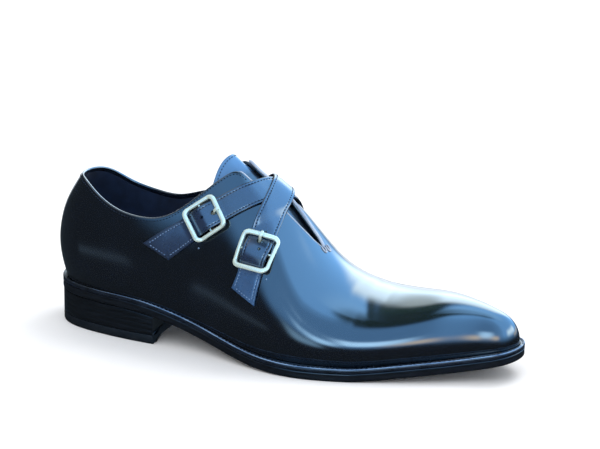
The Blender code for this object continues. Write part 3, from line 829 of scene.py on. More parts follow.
def makeRims():
    # pale beads on the slit's two edges and, at its end, two small loops of the same cord, their
    # pale colour a painted highlight: each is an oval section carried along its line on the last
    grids = []
    for side in (-1, 1):
        x = np.linspace(rims["start"], last["slitEnd"], 150)
        station, radius = stationAt(x), rims["radius"][side]
        angle = collarAngle(x, side)
        path = above(station, angle, radius - rims["sink"])
        size = radius * roundedEnds(path, rims["endRound"])
        grids.append(cordAlong(path, outward(station, angle), size, size * rims["flatness"], 12))
    turn = np.linspace(-rims["loopTurn"], rims["loopTurn"], 40)[:, None]
    for x, degrees, reach in rims["loops"]:
        station, angle = stationAt(np.array([x])), np.radians([degrees])
        along, around = (unit(way) for way in tangents(station, angle))
        bow = (along * np.cos(turn) - around * np.sin(turn) * rims["loopWidth"]) * reach
        path = above(station, angle, rims["loopLift"]) + bow
        size = rims["loopRadius"] * roundedEnds(path, rims["loopEndRound"])
        grids.append(cordAlong(path, outward(station, angle), size, size, 10))
    return makePiece("slitRims", grids, looks["rim"], "upper")


tongue = {
    "bottom": 191.0,
    "tip": 119.5,
    "shoulder": 9.0,
    "rise": 2.2,
    "riseStart": 138.0,
    "riseLength": 18.0,
    "riseAngle": 0.45,
    "depth": 2.8,
    "thickness": 1.6,
    "edgeRound": 0.8,
    "length": 70.0,
    "width": 40.0,
    "halfAngle": [(110, 50), (120, 49), (135, 43), (150, 34), (170, 22), (192, 15)],
    "tone": 0.62,
    "shadeStart": 128.0,
    "shadeLength": 12.0,
}


def layTongue(u, aside, lift):
    # u runs from the hidden end to the tip, aside from the medial to the lateral edge; the
    # free end is rounded and, between the upper's edges, arched up by rise
    tip = tongue["tip"] - tongue["shoulder"] * aside**2 / (aside**2 + 0.25)
    x = mixed(tongue["bottom"], tip, u)
    half = np.radians(spline(tongue["halfAngle"], x))
    station, angle = stationAt(x), np.pi / 2 - aside * half
    free = np.minimum(angle - collarAngle(x, -1), collarAngle(x, 1) - angle)
    arch = tongue["rise"] * smooth((tongue["riseStart"] - x) / tongue["riseLength"])
    arch = arch * smooth(free / tongue["riseAngle"])
    return above(station, angle, lift + arch - tongue["depth"] - tongue["thickness"])


def makeTongue():
    # two sheets a thickness apart that meet at a rounded border, with painted shade: darker
    # where the upper shades it
    long = stepped(tongue["length"], 1.5, 1.2) / tongue["length"]
    wide = stepped(tongue["width"], 1.5, 1.2) / tongue["width"] * 2 - 1
    u, aside = np.meshgrid(long, wide, indexing="ij")
    middle = layTongue(u, aside, np.zeros_like(u))
    run, reach = lengthAlong(middle), lengthAlong(middle, 1)
    inside = np.minimum(np.minimum(run, run[-1] - run), np.minimum(reach, reach[:, -1:] - reach))
    x = mixed(tongue["bottom"], tongue["tip"], u)
    # painted shade: the tone falls towards 0 ahead of shadeStart, where the tongue lies under the
    # upper
    tone = tongue["tone"] * (1 - smooth((x - tongue["shadeStart"]) / tongue["shadeLength"]))
    grids = pillow(layTongue, u, aside, inside, tongue["thickness"], tongue["edgeRound"], tone)
    return makePiece("tongueLeather", grids, looks["tongue"], "tongue", ["tongue"])


straps = {
    # where each strap's middle line crosses the last, its turn from straight down, and its
    # lengths from there; places along it are from there too, towards the tip
    # fade: how much paler each strap's tail grows past the buckle, a painted sheen
    "rear": {"x": 137.6, "angle": 60.0, "turn": -50.5, "back": 123.5, "ahead": 69.7,
             "tipSlant": -4.7, "footSlant": -1.5, "buckle": 29.5, "flare": 0.12, "drift": 0.0,
             "fade": 0.08, "holes": [(30, -1.0)]},
    "front": {"x": 152.7, "angle": 60.0, "turn": -3.5, "back": 139.0, "ahead": 52.8,
              "tipSlant": 3.0, "footSlant": 6.5, "buckle": 24.5, "flare": 0.2, "drift": -1.4,
              "fade": 0.4, "holes": [(23, 2.0), (12, 1.0)]},
    "width": 15.5,
    "thickness": 1.4,
    "edgeRound": 0.7,
    "stitchInset": 1.8,
    "stitchDip": 0.14,
    "stitchBed": 0.32,
    "threadChange": 9.0,
    "stitchSkip": 0.3,
    "tipSkip": 0.5,
    "leatherGap": 0.4,
    "domeReach": 13.0,
    "domeLift": 4.25,
    # past the buckle: where the strap leaves the bar for the chape, and falls off it again
    "tailLift": 1.35,
    "tailStart": 1.0,
    "tailRise": 3.0,
    "tailReach": 16.0,
    "tailFall": 6.0,
    # past the buckle too: where its flare and drift set in, and its paler tone, a painted sheen
    "flareStart": 12.0,
    "flareLength": 20.0,
    "sheenStart": 6.0,
    "sheenLength": 8.0,
    "crossingGap": 0.6,
    "crossingInner": 13.0,
    "crossingOuter": 22.0,
    "bridge": 1.0,
    "bridgeReach": 12.0,
    "holeRadius": 0.9,
    "prongHole": 6.4,
    "prongHoleRadius": 1.5,
    # places of the mesh's columns from one long edge to the middle, close by the stitches
    "columns": [0, 0.04, 0.14, 0.28, 0.45, 0.7, 1.0, 1.3, 1.5, 1.65, 1.8, 1.95, 2.1, 2.35,
                2.8, 3.6, 4.6, 5.6, 6.6, 7.75],
    "tone": 0.45,
    "edgeTone": 0.12,
    "edgeToneWidth": 0.9,
}
rear, front = straps["rear"], straps["front"]


def walk(station, angle, heading, stride, count):
    # straightest paths over the last: place and heading after each stride, which is split
    # between station and angle by solving for the heading in the two tangents
    path = [(station, angle, heading)]
    for _ in range(count):
        along, around = tangents(station, angle)
        out = unit(np.cross(along, around))
        heading = unit(heading - out * dot(heading, out)[..., None])
        aa, ab, bb = dot(along, along), dot(along, around), dot(around, around)
        ha, hb = dot(heading, along), dot(heading, around)
        area = aa * bb - ab * ab
        station = station + stride * (ha * bb - hb * ab) / area
        angle = angle + stride * (hb * aa - ha * ab) / area
        path.append((station, angle, heading))
    return path


def routeStrap(strap):
    # the strap's middle line, one place for each millimetre on both sides of its anchor
    station, angle = stationAt(np.array([strap["x"]])), np.radians([strap["angle"]])
    along, around = tangents(station, angle)
    down = unit(-around)
    forward = unit(np.cross(unit(np.cross(along, around)), down))
    forward = forward * np.sign(dot(forward, along))[..., None]
    turn = np.radians(strap["turn"])
    heading = down * np.cos(turn) + forward * np.sin(turn)
    spare = 8
    ahead, back = int(strap["ahead"]) + spare, int(strap["back"]) + spare
    toTip = walk(station, angle, heading, 1.0, ahead)
    toFoot = walk(station, angle, -heading, 1.0, back)
    steps = [(a, b, -c) for a, b, c in toFoot[:0:-1]] + toTip
    strap["places"] = np.arange(-back, ahead + 1)
    strap["stations"] = np.array([step[0][0] for step in steps])
    strap["angles"] = np.array([step[1][0] for step in steps])
    strap["headings"] = np.array([step[2][0] for step in steps])
    strap["spine"] = surface(strap["stations"], strap["angles"])
    strap["ridge"] = np.interp(np.pi / 2, strap["angles"][::-1], strap["places"][::-1])


def lay(strap, s, v, lift):
    # point at s along the strap and v across it, lifted off the last; past the buckle the
    # strap widens and drifts across
    s, v, lift = np.broadcast_arrays(*(np.asarray(part, float) for part in (s, v, lift)))
    station = np.interp(s, strap["places"], strap["stations"])
    angle = np.interp(s, strap["places"], strap["angles"])
    heading = [np.interp(s, strap["places"], column) for column in strap["headings"].T]
    heading = unit(np.stack(heading, -1))
    across = np.cross(unit(np.cross(*tangents(station, angle))), heading)
    tail = smooth((s - strap["buckle"] - straps["flareStart"]) / straps["flareLength"])
    v = v * (1 + strap["flare"] * tail) + strap["drift"] * tail
    station, angle, _ = walk(station, angle, across, v / 4, 4)[-1]
    return above(station, angle, lift)


def strapNormal(strap, s, v, lift):
    # square to the strap: the way from a point to the one a millimetre above it
    return unit(lay(strap, s, v, lift + 1) - lay(strap, s, v, lift))


def underside(strap, s, v, below=None):
    # lift of the strap's lower face: over the centre bar, over the chape, a little off the
    # instep's ridge and, where the straps cross, over the one below
    away = s - strap["buckle"]
    dome = np.where(abs(away) < straps["domeReach"],
                    np.cos(np.pi / 2 * away / straps["domeReach"])**2, 0)
    tail = smooth((away - straps["tailStart"]) / straps["tailRise"])
    tail = tail * smooth((straps["tailReach"] - away) / straps["tailFall"])
    base = mixed(straps["leatherGap"], straps["tailLift"], tail)
    height = mixed(base, straps["domeLift"], dome)
    height = height + straps["bridge"] * bell(s, strap["ridge"], straps["bridgeReach"])
    if below is None:
        return height
    point = lay(strap, s, v, height)
    apart = np.linalg.norm(point[..., None, :] - below["spine"], axis=-1).min(-1)
    inner, outer = straps["crossingInner"], straps["crossingOuter"]
    over = smooth((outer - apart) / (outer - inner))
    return height + (straps["thickness"] + straps["crossingGap"]) * over


def strapEnds(strap, v):
    # places of the slanted foot and tip at v across the strap
    aside = v / (straps["width"] / 2)
    return (-strap["back"] + strap["footSlant"] * aside, strap["ahead"] + strap["tipSlant"] * aside)


def insideStrap(strap, s, v):
    # distance from the strap's border: the least of those to its two ends and its long edge
    half = straps["width"] / 2
    start, end = strapEnds(strap, v)
    foot = (s - start) / np.hypot(1, strap["footSlant"] / half)
    tip = (end - s) / np.hypot(1, strap["tipSlant"] / half)
    return np.minimum(np.minimum(foot, tip), half - abs(v))


def makeStrap(which, strap, below=None):
    # two sheets a thickness apart that meet at a rounded border, with a shallow bed under
    # the stitches, and a round hole cut for the prong and for each spare hole
    sides, half = np.array(straps["columns"]), straps["width"] / 2
    across = np.concatenate([sides - half, (half - sides)[-2::-1]])
    length = strap["back"] + strap["ahead"]
    share, v = np.meshgrid(stepped(length, 1.1, 0.7) / length, across, indexing="ij")
    start, end = strapEnds(strap, v)
    s = mixed(start, end, share)
    inside = insideStrap(strap, s, v)
    lift = underside(strap, s, v, below)
    bed = straps["stitchDip"] * bell(inside, straps["stitchInset"], straps["stitchBed"])

    def shape(u, w, rise):
        # a sheet of the strap, the upper one sunk along the bed
        top = rise > straps["thickness"] / 2
        return lay(strap, u, w, lift + rise - bed * top)
    # painted sheen: past the buckle the tail grows paler by the strap's fade
    tail = smooth((s - strap["buckle"] - straps["sheenStart"]) / straps["sheenLength"])
    # darker along the strap's border
    darkerBorder = straps["edgeTone"] * bell(inside, 0, straps["edgeToneWidth"])
    grids = pillow(shape, s, v, inside, straps["thickness"], straps["edgeRound"],
                   straps["tone"] + strap["fade"] * tail - darkerBorder)
    piece = makePiece(which + "Strap", grids, looks["strap"], "straps", [which + "_strap"])
    holes = [(*hole, straps["holeRadius"]) for hole in strap["holes"]]
    holes.append((strap["buckle"] - straps["prongHole"], 0.0, straps["prongHoleRadius"]))
    for place, aside, radius in holes:
        low, high = (lay(strap, place, aside, rise) for rise in (-1.0, 8.0))
        axis = unit(high - low)
        ring = ringRound(axis, unit(np.cross(axis, [0, 0, 1.0])), 20)
        drill = [low + 0 * ring, low + ring * radius, high + ring * radius, high + 0 * ring]
        combine(piece, np.stack(drill), "DIFFERENCE")
    return piece


def strapStitches(strap, below=None, tail=False):
    # rows inside both long edges, or past the buckle with one across the tip, as one line
    # bent at the tip's corners
    half, inset = straps["width"] / 2, straps["stitchInset"]
    tipTurn = np.hypot(1, strap["tipSlant"] / half)
    change = strap["buckle"] + straps["threadChange"]
    w = half - inset
    rows, corners = [], []

    def line(s, v):
        # the bottom of the bed and the way out of it
        lift = underside(strap, s, v, below) + straps["thickness"] - straps["stitchDip"]
        return lay(strap, s, v, lift), strapNormal(strap, s, v, lift)
    for side in (-1, 1):
        foot, tip = strapEnds(strap, np.array(side * w))
        corners.append(tip - inset * tipTurn)
        ends = (change, corners[-1]) if tail else (foot + inset, change)
        s = np.arange(*ends, 0.5)
        rows.append(sewn(*line(s, np.full_like(s, side * w)), skip=straps["stitchSkip"]))
    if tail:
        v = np.linspace(-w, w, 40)
        s = mixed(*corners, (v + w) / (2 * w))
        rows.append(sewn(*line(s, v), skip=straps["tipSkip"]))
    return rows


buckles = {
    "endBar": 1.45,
    "rail": 1.15,
    "centreBar": 0.7,
    "reach": 10.1,
    "room": 1.3,
    "corner": 3.2,
    "barLift": 2.0,
    "barShoulder": 1.0,
    "shoulderWidth": 1.2,
    "instepBarLift": 4.25,
    "tailBarLift": 5.35,
    "railLift": 4.0,
    "flatness": 0.82,
    "squareness": 2.8,
    "gap": 0.3,
    "chapeThick": 0.7,
    "chapeLift": 0.7,
    # places of the chape's flat part from the bar, and where its turn ends, in degrees
    "chapePlaces": (9.0, 6.0, 2.6),
    "chapeTurn": -320,
    "chapeHalfWidth": 6.0,
    "chapeRound": 0.3,
    "wrapRadius": 1.3,
    "prongWidth": 1.8,
    "prongThick": 0.7,
    "prongRound": 0.7,
    "prongSquareness": 2.4,
    "prongTurn": 150,
    # the prong from its turn round the bar to its tip: place from the bar, and lift
    "prongReach": [
        (-3, 0.95), (-4.8, 1.6), (-6.1, 2.5), (-7.1, 4.0), (-7.8, 5.6), (-8.9, 6.5),
        (-10.2, 6.7), (-11.8, 6.3),
    ],
}


def frameRoute():
    # the frame's centre line, a rectangle with quarter circles for corners: along, across,
    # lift and bar radius at each place round it
    rail, reach, corner = buckles["rail"], buckles["reach"], buckles["corner"]
    width = straps["width"] / 2 + buckles["room"] + rail
    turns = np.radians(np.linspace(0, 90, 13))
    along = reach - corner + corner * np.sin(turns)
    across = width - corner + corner * np.cos(turns)
    quarter = np.column_stack([along, across])
    bar = np.linspace(across[-1], -across[-1], 10)[1:-1]
    end = np.column_stack([np.full_like(bar, reach), bar])
    side = np.linspace(along[0], -along[0], 12)[1:-1]
    rest = np.column_stack([side, np.full_like(side, -width)])
    half = np.vstack([quarter, end, quarter[::-1] * [1, -1], rest])
    along, across = np.vstack([half, -half]).T
    outer = smooth((abs(along) - reach + corner) / corner)
    ends = np.where(along > 0, buckles["tailBarLift"], buckles["instepBarLift"])
    lift = mixed(buckles["railLift"], ends, outer)
    return along, across, lift, mixed(rail, buckles["endBar"], outer)


def makeFrame(which, strap):
    # a flattened bar bent round the strap, with a thin round bar across its middle
    along, across, lift, radius = frameRoute()
    s = strap["buckle"] + along
    path = lay(strap, s, across, lift)
    ahead = unit(np.roll(path, -1, 0) - np.roll(path, 1, 0))
    side = unit(np.cross(ahead, strapNormal(strap, s, across, lift)))
    grid = sweep(path, side, np.cross(side, ahead), radius, radius * buckles["flatness"],
                 buckles["squareness"], 20, True)
    piece = makePiece(which + "Frame", [grid], looks["steel"], "buckles", [which + "_buckle"])
    level = buckles["chapeHalfWidth"] + buckles["gap"]
    end = straps["width"] / 2 + buckles["room"] + buckles["rail"] - buckles["gap"]
    across = np.concatenate([[-end], np.linspace(-level - 1, level + 1, 25), [end]])
    shoulder = smooth((abs(across) - level) / buckles["shoulderWidth"])
    line = (np.full_like(across, strap["buckle"]), across,
            buckles["barLift"] + buckles["barShoulder"] * shoulder)
    path, up = lay(strap, *line), strapNormal(strap, *line)
    side = unit(np.cross(unit(np.gradient(path, axis=0)), up))
    capped = np.r_[0, np.arange(len(path)), len(path) - 1]
    size = np.full(len(capped), buckles["centreBar"])
    size[[0, -1]] = 0
    bar = sweep(path[capped], side[capped], up[capped], size, size, around=12)
    combine(piece, bar[0], "UNION")
    return piece


def wrap(start, end):
    # part of a turn round the centre bar, as place and lift from it
    turns = np.radians(np.linspace(start, end, 9))
    ring = np.column_stack([np.cos(turns), np.sin(turns)]) * buckles["wrapRadius"]
    return ring + [0, buckles["barLift"]]


def smoothLine(points, step):
    # a spline through the points by the distance between them
    run = lengthAlong(points)
    rows = np.column_stack([run, points])
    at = np.linspace(0, run[-1], int(run[-1] / step) + 2)
    return np.column_stack([spline(rows, at, 1), spline(rows, at, 2)])


def makeChape(which, strap):
    # the leather tab that holds the buckle: a strip of even thickness carried from below the
    # strap round the bar
    half = buckles["chapeHalfWidth"]
    tab = [(along, buckles["chapeLift"]) for along in buckles["chapePlaces"]]
    route = smoothLine(np.vstack([tab, wrap(-90, buckles["chapeTurn"])]), 0.25)
    run = lengthAlong(route)
    ahead = unit(np.gradient(route, axis=0))
    u, v = np.meshgrid(run, stepped(2 * half, 0.5, 0.35) - half, indexing="ij")
    inside = np.minimum(np.minimum(u, run[-1] - u), half - abs(v))

    def shape(_, v, rise):
        # a sheet of the tab, moved off its route square to it
        middle = rise - buckles["chapeThick"] / 2
        s = route[:, :1] - ahead[:, 1:] * middle
        return lay(strap, strap["buckle"] + s, v, route[:, 1:] + ahead[:, :1] * middle)
    grids = pillow(shape, u, v, inside, buckles["chapeThick"], buckles["chapeRound"])
    return makePiece(which + "Tab", grids, looks["strap"], "straps", [which + "_chape"])


def makeProng(which, strap):
    # a flat bar: round the centre bar, under the strap, up through its hole and over the
    # instep bar
    route = smoothLine(np.vstack([wrap(buckles["prongTurn"], -90), buckles["prongReach"]]), 0.2)
    s, lift = strap["buckle"] + route[:, 0], route[:, 1]
    path = lay(strap, s, 0, lift)
    side = lay(strap, s, 1, lift) - path
    ahead = unit(np.gradient(path, axis=0))
    side = unit(side - ahead * dot(side, ahead)[:, None])
    scale = roundedEnds(path, buckles["prongRound"])
    grid = sweep(path, side, np.cross(ahead, side), buckles["prongWidth"] / 2 * scale,
                 buckles["prongThick"] / 2 * scale, buckles["prongSquareness"])
    return makePiece(which + "Prong", [grid], looks["steel"], "buckles", [which + "_prong"])


tacks = {
    "radius": 0.6,
    "height": 0.3,
    "stem": 0.5,
    "places": {"rear": (43.5, 12.6), "front": (38.2, 10.7)},
}


def makeTacks():
    # a small domed rivet beside each strap's end: a quarter ellipse turned round the last's
    # normal, with a short stem in the leather
    rise = np.linspace(0, np.pi / 2, 8)
    wide = np.concatenate([[0, 1], np.cos(rise)])[:, None, None] * tacks["radius"]
    tall = np.concatenate([[-tacks["stem"]] * 2, np.sin(rise) * tacks["height"]])[:, None]
    grids = []
    for which, (s, v) in tacks["places"].items():
        strap = straps[which]
        base = lay(strap, s, v, 0)
        out = unit(lay(strap, s, v, 1) - base)
        ring = ringRound(out, unit(np.cross(out, lay(strap, s, v + 1, 0) - base)), 24)
        grids.append((base + ring * wide + out * tall[..., None], tall, fullTurn(24)))
    return makePiece("tacks", grids, looks["tack"], "buckles")


sole = {
    "rows": 150,
    "columns": 16,
    "gap": 0.3,
    # an edge from underside to top: how far in, height share, and an offset from that height
    "edge": [
        (8, 0, 0), (4.6, 0, 0), (4.3, 0, 0.22), (4.0, 0, 0), (0.9, 0, 0), (0.35, 0, 0.15),
        (0.08, 0, 0.5), (0, 0, 1.0), (0.12, 0, 2.6), (0.12, 0, 3.4), (0, 1, -0.9), (0, 1, -0.5),
        (0.2, 1, -0.15), (0.6, 1, 0), (3, 1, 0), (8, 1, 0),
    ],
}


def raised(plan, height):
    # points in plan, at their heights
    return np.concatenate([plan, height[..., None]], -1)


def soleTop(x):
    # the curve of the underside, raised by the sole's thickness
    return soleBottom(x) + last["sole"]


def slab(name, end, edge, under, over, profile, look, slot, replaced, hollow=0.0):
    # a flat solid from the heel's back to a station: rungs across it between the points of
    # edge(station, depth), at each row of the profile; hollow bends the last rungs back
    u = np.linspace(0, 1, sole["rows"])[:, None]
    v = np.linspace(0, 1, sole["columns"] + 1)[None]
    station = u * end
    layers = []
    for depth, share, offset in profile:
        at = mixed(edge(-station, depth), edge(station, depth), v[..., None])
        at[..., 0] -= hollow * 4 * v * (1 - v) * u**3
        height = mixed(under(at[..., 0]), over(at[..., 0]), share) + offset
        layers.append(raised(at, height))
    layers = np.stack(layers, 2)
    run = lengthAlong(np.array(profile)[:, :2] * [1, last["sole"]])[None]
    grids = [(layers[:, :, 0], station, v * 60), (layers[:, :, -1], station, v * 60),
             (layers[:, 0], station, run), (layers[:, -1], station, run)]
    if hollow:
        grids.append((layers[-1], v.T * 60, run))
    return makePiece(name, grids, look, slot, replaced, 30)


def makeSole():
    # between the sole's two curves, inside its outline
    slab("leatherSole", toeStation, outline, soleBottom, soleTop, sole["edge"],
         looks["edge"], "sole", ["outsole"])


heel = {
    "breast": 80.0,
    "hollow": 4.0,
    "inset": 0.4,
    "topPiece": 6.0,
    "lifts": 4,
    # edges as the sole's; a groove between two lifts lacks the height share
    "topPieceEdge": [
        (6, 0, 0), (0.8, 0, 0), (0.2, 0, 0.2), (0, 0, 0.7), (0, 1, -0.5), (0.15, 1, -0.12),
        (0.6, 1, 0), (6, 1, 0),
    ],
    "foot": [(6, 0, 0), (0.6, 0, 0), (0.15, 0, 0.12), (0, 0, 0.5)],
    "groove": [(0, -0.25), (0.04, -0.08), (0.04, 0.08), (0, 0.25)],
    "head": [(0, 1, -0.5), (0.15, 1, -0.12), (0.6, 1, 0), (6, 1, 0)],
}


def makeHeel():
    # under the sole's seat, to its breast: the stack, grooved between its lifts, and below it
    # the top piece, from the floor up
    def edge(station, depth):
        # the sole's edge, in by the heel's inset
        return outline(station, heel["inset"] + depth)

    def height(level):
        # the same height at every x
        return lambda x: np.full_like(x, level)
    breast = soleStations[3] + heel["breast"] - last["outline"][3][0]
    share = np.arange(1, heel["lifts"]) / heel["lifts"]
    grooves = [(depth, middle, offset) for middle in share for depth, offset in heel["groove"]]
    slab("heelStack", breast, edge, height(heel["topPiece"]),
         lambda x: soleBottom(x) - sole["gap"], heel["foot"] + grooves + heel["head"],
         looks["heel"], "heel", ["heel_stack"], heel["hollow"])
    slab("heelTopPiece", breast, edge, height(0.0), height(heel["topPiece"] - sole["gap"]),
         heel["topPieceEdge"], looks["rubber"], "top_piece", ["heel_top_piece"], heel["hollow"])


insole = {
    "thickness": 4.0,
    "wall": 2.0,
    "edge": [
        (6, 0, 0), (0.5, 0, 0), (0.1, 0, 0.2), (0, 0, 0.6), (0, 1, -0.9), (0.2, 1, -0.35),
        (0.8, 1, -0.06), (1.6, 1, 0), (6, 1, 0),
    ],
}


def makeInsole():
    # on the sole, inside the upper's wall
    inset = insole["wall"] + 3 * sole["gap"]

    def edge(station, depth):
        # the feather line, in by the inset
        return np.stack(featherEdge(station, inset + depth), -1)

    def under(x):
        # a gap above the sole
        return soleTop(x) + sole["gap"]
    slab("sockAndInsole", toeStation, edge, under, lambda x: under(x) + insole["thickness"],
         insole["edge"], looks["sock"], "insole", ["insole"])


welt = {
    "rows": 520,
    "fullWidth": 3.4,
    # its section all round: 0 or 1 for the outer or inner edge, the distance from it, 0 or 1
    # for the underside or top, and an offset from that height
    "section": [
        (0, 0.25, 0, 0), (0, 0.05, 0, 0.3), (0, 0, 0, 0.8), (0, 0.02, 0, 1.5),
        (0, 0.12, 1, -0.35), (0, 0.3, 1, -0.1), (0, 0.55, 1, 0), (0, 1.2, 1, 0),
        (0, 1.4, 1, -0.12), (0, 1.65, 1, -0.2), (0, 1.9, 1, -0.12), (0, 2.1, 1, 0),
        (1, 0.6, 1, 0), (1, 0.2, 1, -0.06), (1, 0, 1, -0.3), (1, 0, 0, 0.3), (1, 0.2, 0, 0),
        (1, 1.2, 0, 0), (0, 0.25, 0, 0),
    ],
    "beadRows": 900,
    "beadInset": 0.5,
    "beadRadius": 0.3,
    "beadLift": 0.02,
    "beadEnd": 0.15,
    "beadFade": 60.0,
    "beadRound": 1.0,
}


def makeWelt():
    # a ring round the upper's foot: its section, carried along the sole's edge and narrowed
    # where the welt is narrow
    s = np.linspace(-toeStation, toeStation, welt["rows"])[:, None]
    outer = outline(s)
    inner = np.stack(featherEdge(s, -sole["gap"]), -1)
    width = np.linalg.norm(inner - outer, axis=-1)
    side, distance, share, offset = np.array(welt["section"]).T[:, None]
    far = distance / np.maximum(width, welt["fullWidth"])
    at = mixed(outer, inner, np.where(side == 0, far, 1 - far)[..., None])
    lift = sole["gap"] + share * (last["welt"] - 2 * sole["gap"]) + offset
    grid = (raised(at, soleTop(at[..., 0]) + lift), s, distance)
    return makePiece("weltStrip", [grid], looks["welt"], "welt", ["welt"], 40)


def weltLines(rows, start, inset, lift):
    # a line on the welt's top along each side of the shoe, from a station to the toe's tip
    s = np.linspace(-toeStation, toeStation, rows)
    s = s[abs(s) > start]
    for part in (s[s < 0], s[s > 0]):
        at = outline(part, inset)
        yield part, raised(at, soleTop(at[:, 0]) + last["welt"] - sole["gap"] + lift)


def makeWeltBead():
    # a fine pale round bead a little inside the welt's outer edge, a painted highlight along its
    # top edge, thinning out towards the heel
    start, grids = soleStations[2], []
    for s, path in weltLines(welt["beadRows"], start, welt["beadInset"], welt["beadLift"]):
        grown = mixed(welt["beadEnd"], 1, smooth((abs(s) - start) / welt["beadFade"]))
        size = welt["beadRadius"] * grown * roundedEnds(path, welt["beadRound"])
        grids.append(cordAlong(path, [0, 0, 1.0], size, size, 8))
    return makePiece("weltBead", grids, looks["bead"], "welt")


seams = {
    "topline": 2.3,
    "toplineEnd": 134.0,
    "weltInset": 1.66,
    "weltDip": 0.15,
    "weltStitch": {"length": 2.0, "gap": 0.9, "radius": 0.26},
    "tongueInset": 2.0,
    # shares of the tongue's length and half width that its rows reach
    "tongueStart": 0.35,
    "tongueEnd": 0.97,
    "tongueAcross": 0.93,
}


def toplineRows():
    # a row below the top edge of each side, from the back seam to the slit
    rows = []
    s = np.linspace(1.5, stationAt(seams["toplineEnd"]), 900)
    for side in (-1, 1):
        edge, _, perMm = sideEdges(s, side)
        angle = edge + perMm * seams["topline"]
        rows.append(sewn(skin(s, angle), outward(s, angle)))
    return rows


def weltRows():
    # a row in the welt's groove along each side, from the heel's breast to the toe
    lines = weltLines(3000, soleStations[3], seams["weltInset"], -seams["weltDip"])
    return [sewn(path, np.tile([0.0, 0, 1], (len(path), 1)), seams["weltStitch"])
            for _, path in lines]


def tongueRows():
    # a row inside each long edge, found from the last's girth there, and one across the tip
    u = np.linspace(seams["tongueStart"], seams["tongueEnd"], 300)
    tip = tongue["tip"] - tongue["shoulder"] / 1.25
    x = mixed(tongue["bottom"], tip, u)
    half = np.radians(spline(tongue["halfAngle"], x))
    lines = []
    for side in (-1, 1):
        rate = np.linalg.norm(tangents(stationAt(x), np.pi / 2 - side * half)[1], axis=-1)
        lines.append((u, side * (1 - seams["tongueInset"] / (rate * half))))
    reach = seams["tongueAcross"]
    lines.append((np.full(300, seams["tongueEnd"]), np.linspace(-reach, reach, 300)))
    rows = []
    for along, aside in lines:
        points, higher = (layTongue(along, aside, tongue["thickness"] + rise) for rise in (0, 1))
        rows.append(sewn(points, unit(higher - points)))
    return rows


makeUpper()
makeLining()
print("upper and lining made")
makeTongue()
routeStrap(rear)
routeStrap(front)
makeStrap("rear", rear)
makeStrap("front", front, rear)
print("tongue and straps made")
for which in ("rear", "front"):
    makeFrame(which, straps[which])
    makeChape(which, straps[which])
    makeProng(which, straps[which])
print("buckles made")
makeSole()
makeHeel()
makeWelt()
makeWeltBead()
makeInsole()
print("sole and heel made")
makeTacks()
makeRims()
makeStitches("strapThread", strapStitches(rear) + strapStitches(front, rear),
             looks["thread"], "straps")
# the tails' stitches in the paler thread, a painted sheen
makeStitches("tailThread", strapStitches(rear, None, True) + strapStitches(front, rear, True),
             looks["tailThread"], "straps")
makeStitches("toplineThread", toplineRows(), looks["thread"], "upper")
makeStitches("tongueThread", tongueRows(), looks["thread"], "tongue")
makeStitches("weltThread", weltRows(), looks["paleThread"], "welt", seams["weltStitch"])
print("small parts and stitching made")

studio = {
    "white": 1.05,
    "floor": 3000.0,
    "distance": 3.0,
    "target": (150.0, 0.0, 50.0),
    # each lamp: azimuth, elevation, size, watts, colour
    "lamps": {
        "keyLight": (60, 62, 1.6, 30, (1.0, 1.0, 1.0)),
        "fillLight": (-90, 50, 2.0, 14, (0.9, 0.95, 1.0)),
    },
    # what reflections see: its own radiance, and the panels painted over it in this order:
    # azimuth and elevation of the middle, half width and half height, softness in degrees,
    # radiance r g b
    "room": (0.03, 0.04, 0.05),
    "panels": {
        "skyLeft": (-80, 38, 36, 34, 8, (0.34, 0.86, 1.7)),
        "sky": (23, 44, 69, 38, 14, (0.68, 1.72, 3.35)),
        "behind": (112, 2, 22, 11, 6, (1.2, 1.35, 1.5)),
        "backdrop": (94, 33, 18, 21, 9, (2.8, 3.6, 4.2)),
        "farWall": (119, 44, 8, 20, 6, (1.4, 1.7, 1.8)),
        "toeLight": (8, 20, 26, 8, 8, (3.2, 4.4, 5.4)),
        "side": (-68, 19, 8, 8, 5, (2.6, 4.4, 6.3)),
        "sideLow": (-84, 10, 6, 6, 5, (2.2, 3.9, 5.7)),
        "far": (-97, -4, 9, 6, 5, (0.75, 1.4, 2.1)),
        "warmLeft": (-56, 11, 5, 5, 5, (3.0, 2.6, 2.1)),
        "warmRight": (40, 5, 22, 3, 4, (1.6, 1.6, 1.5)),
        "ceiling": (20, 90, 360, 16, 5, (0.04, 0.09, 0.07)),
        "rafter": (116, 67, 14, 9, 6, (0.07, 0.16, 0.14)),
        "key": (44, 72, 46, 8, 12, (0.95, 2.1, 3.7)),
        "rearWall": (-165, 55, 45, 16, 18, (0.8, 1.0, 1.2)),
        "streak": (-140, -16, 14, 1, 2, (0.16, 0.24, 0.33)),
    },
}


def direction(azimuth, elevation):
    # a unit vector from its two angles in degrees: azimuth 0 is the toe's way, 90 medial
    a, e = math.radians(azimuth), math.radians(elevation)
    return Vector((math.cos(a) * math.cos(e), math.sin(a) * math.cos(e), math.sin(e)))


def addLamps():
    # soft lights on a sphere about the shoe, turned to it; they shade the scene but aren't
    # seen in reflections
    target = Vector(toRow(studio["target"]))
    for name, (azimuth, elevation, size, energy, colour) in studio["lamps"].items():
        way = direction(azimuth, elevation)
        light = bpy.data.lights.new(name, "AREA")
        light.shape, light.size, light.energy, light.color = "DISK", size, energy, colour
        lamp = addObject(name, light)
        lamp.location = target + way * studio["distance"]
        lamp.rotation_mode = "QUATERNION"
        lamp.rotation_quaternion = (-way).to_track_quat("-Z", "Y")
        lamp.visible_glossy = lamp.visible_camera = False


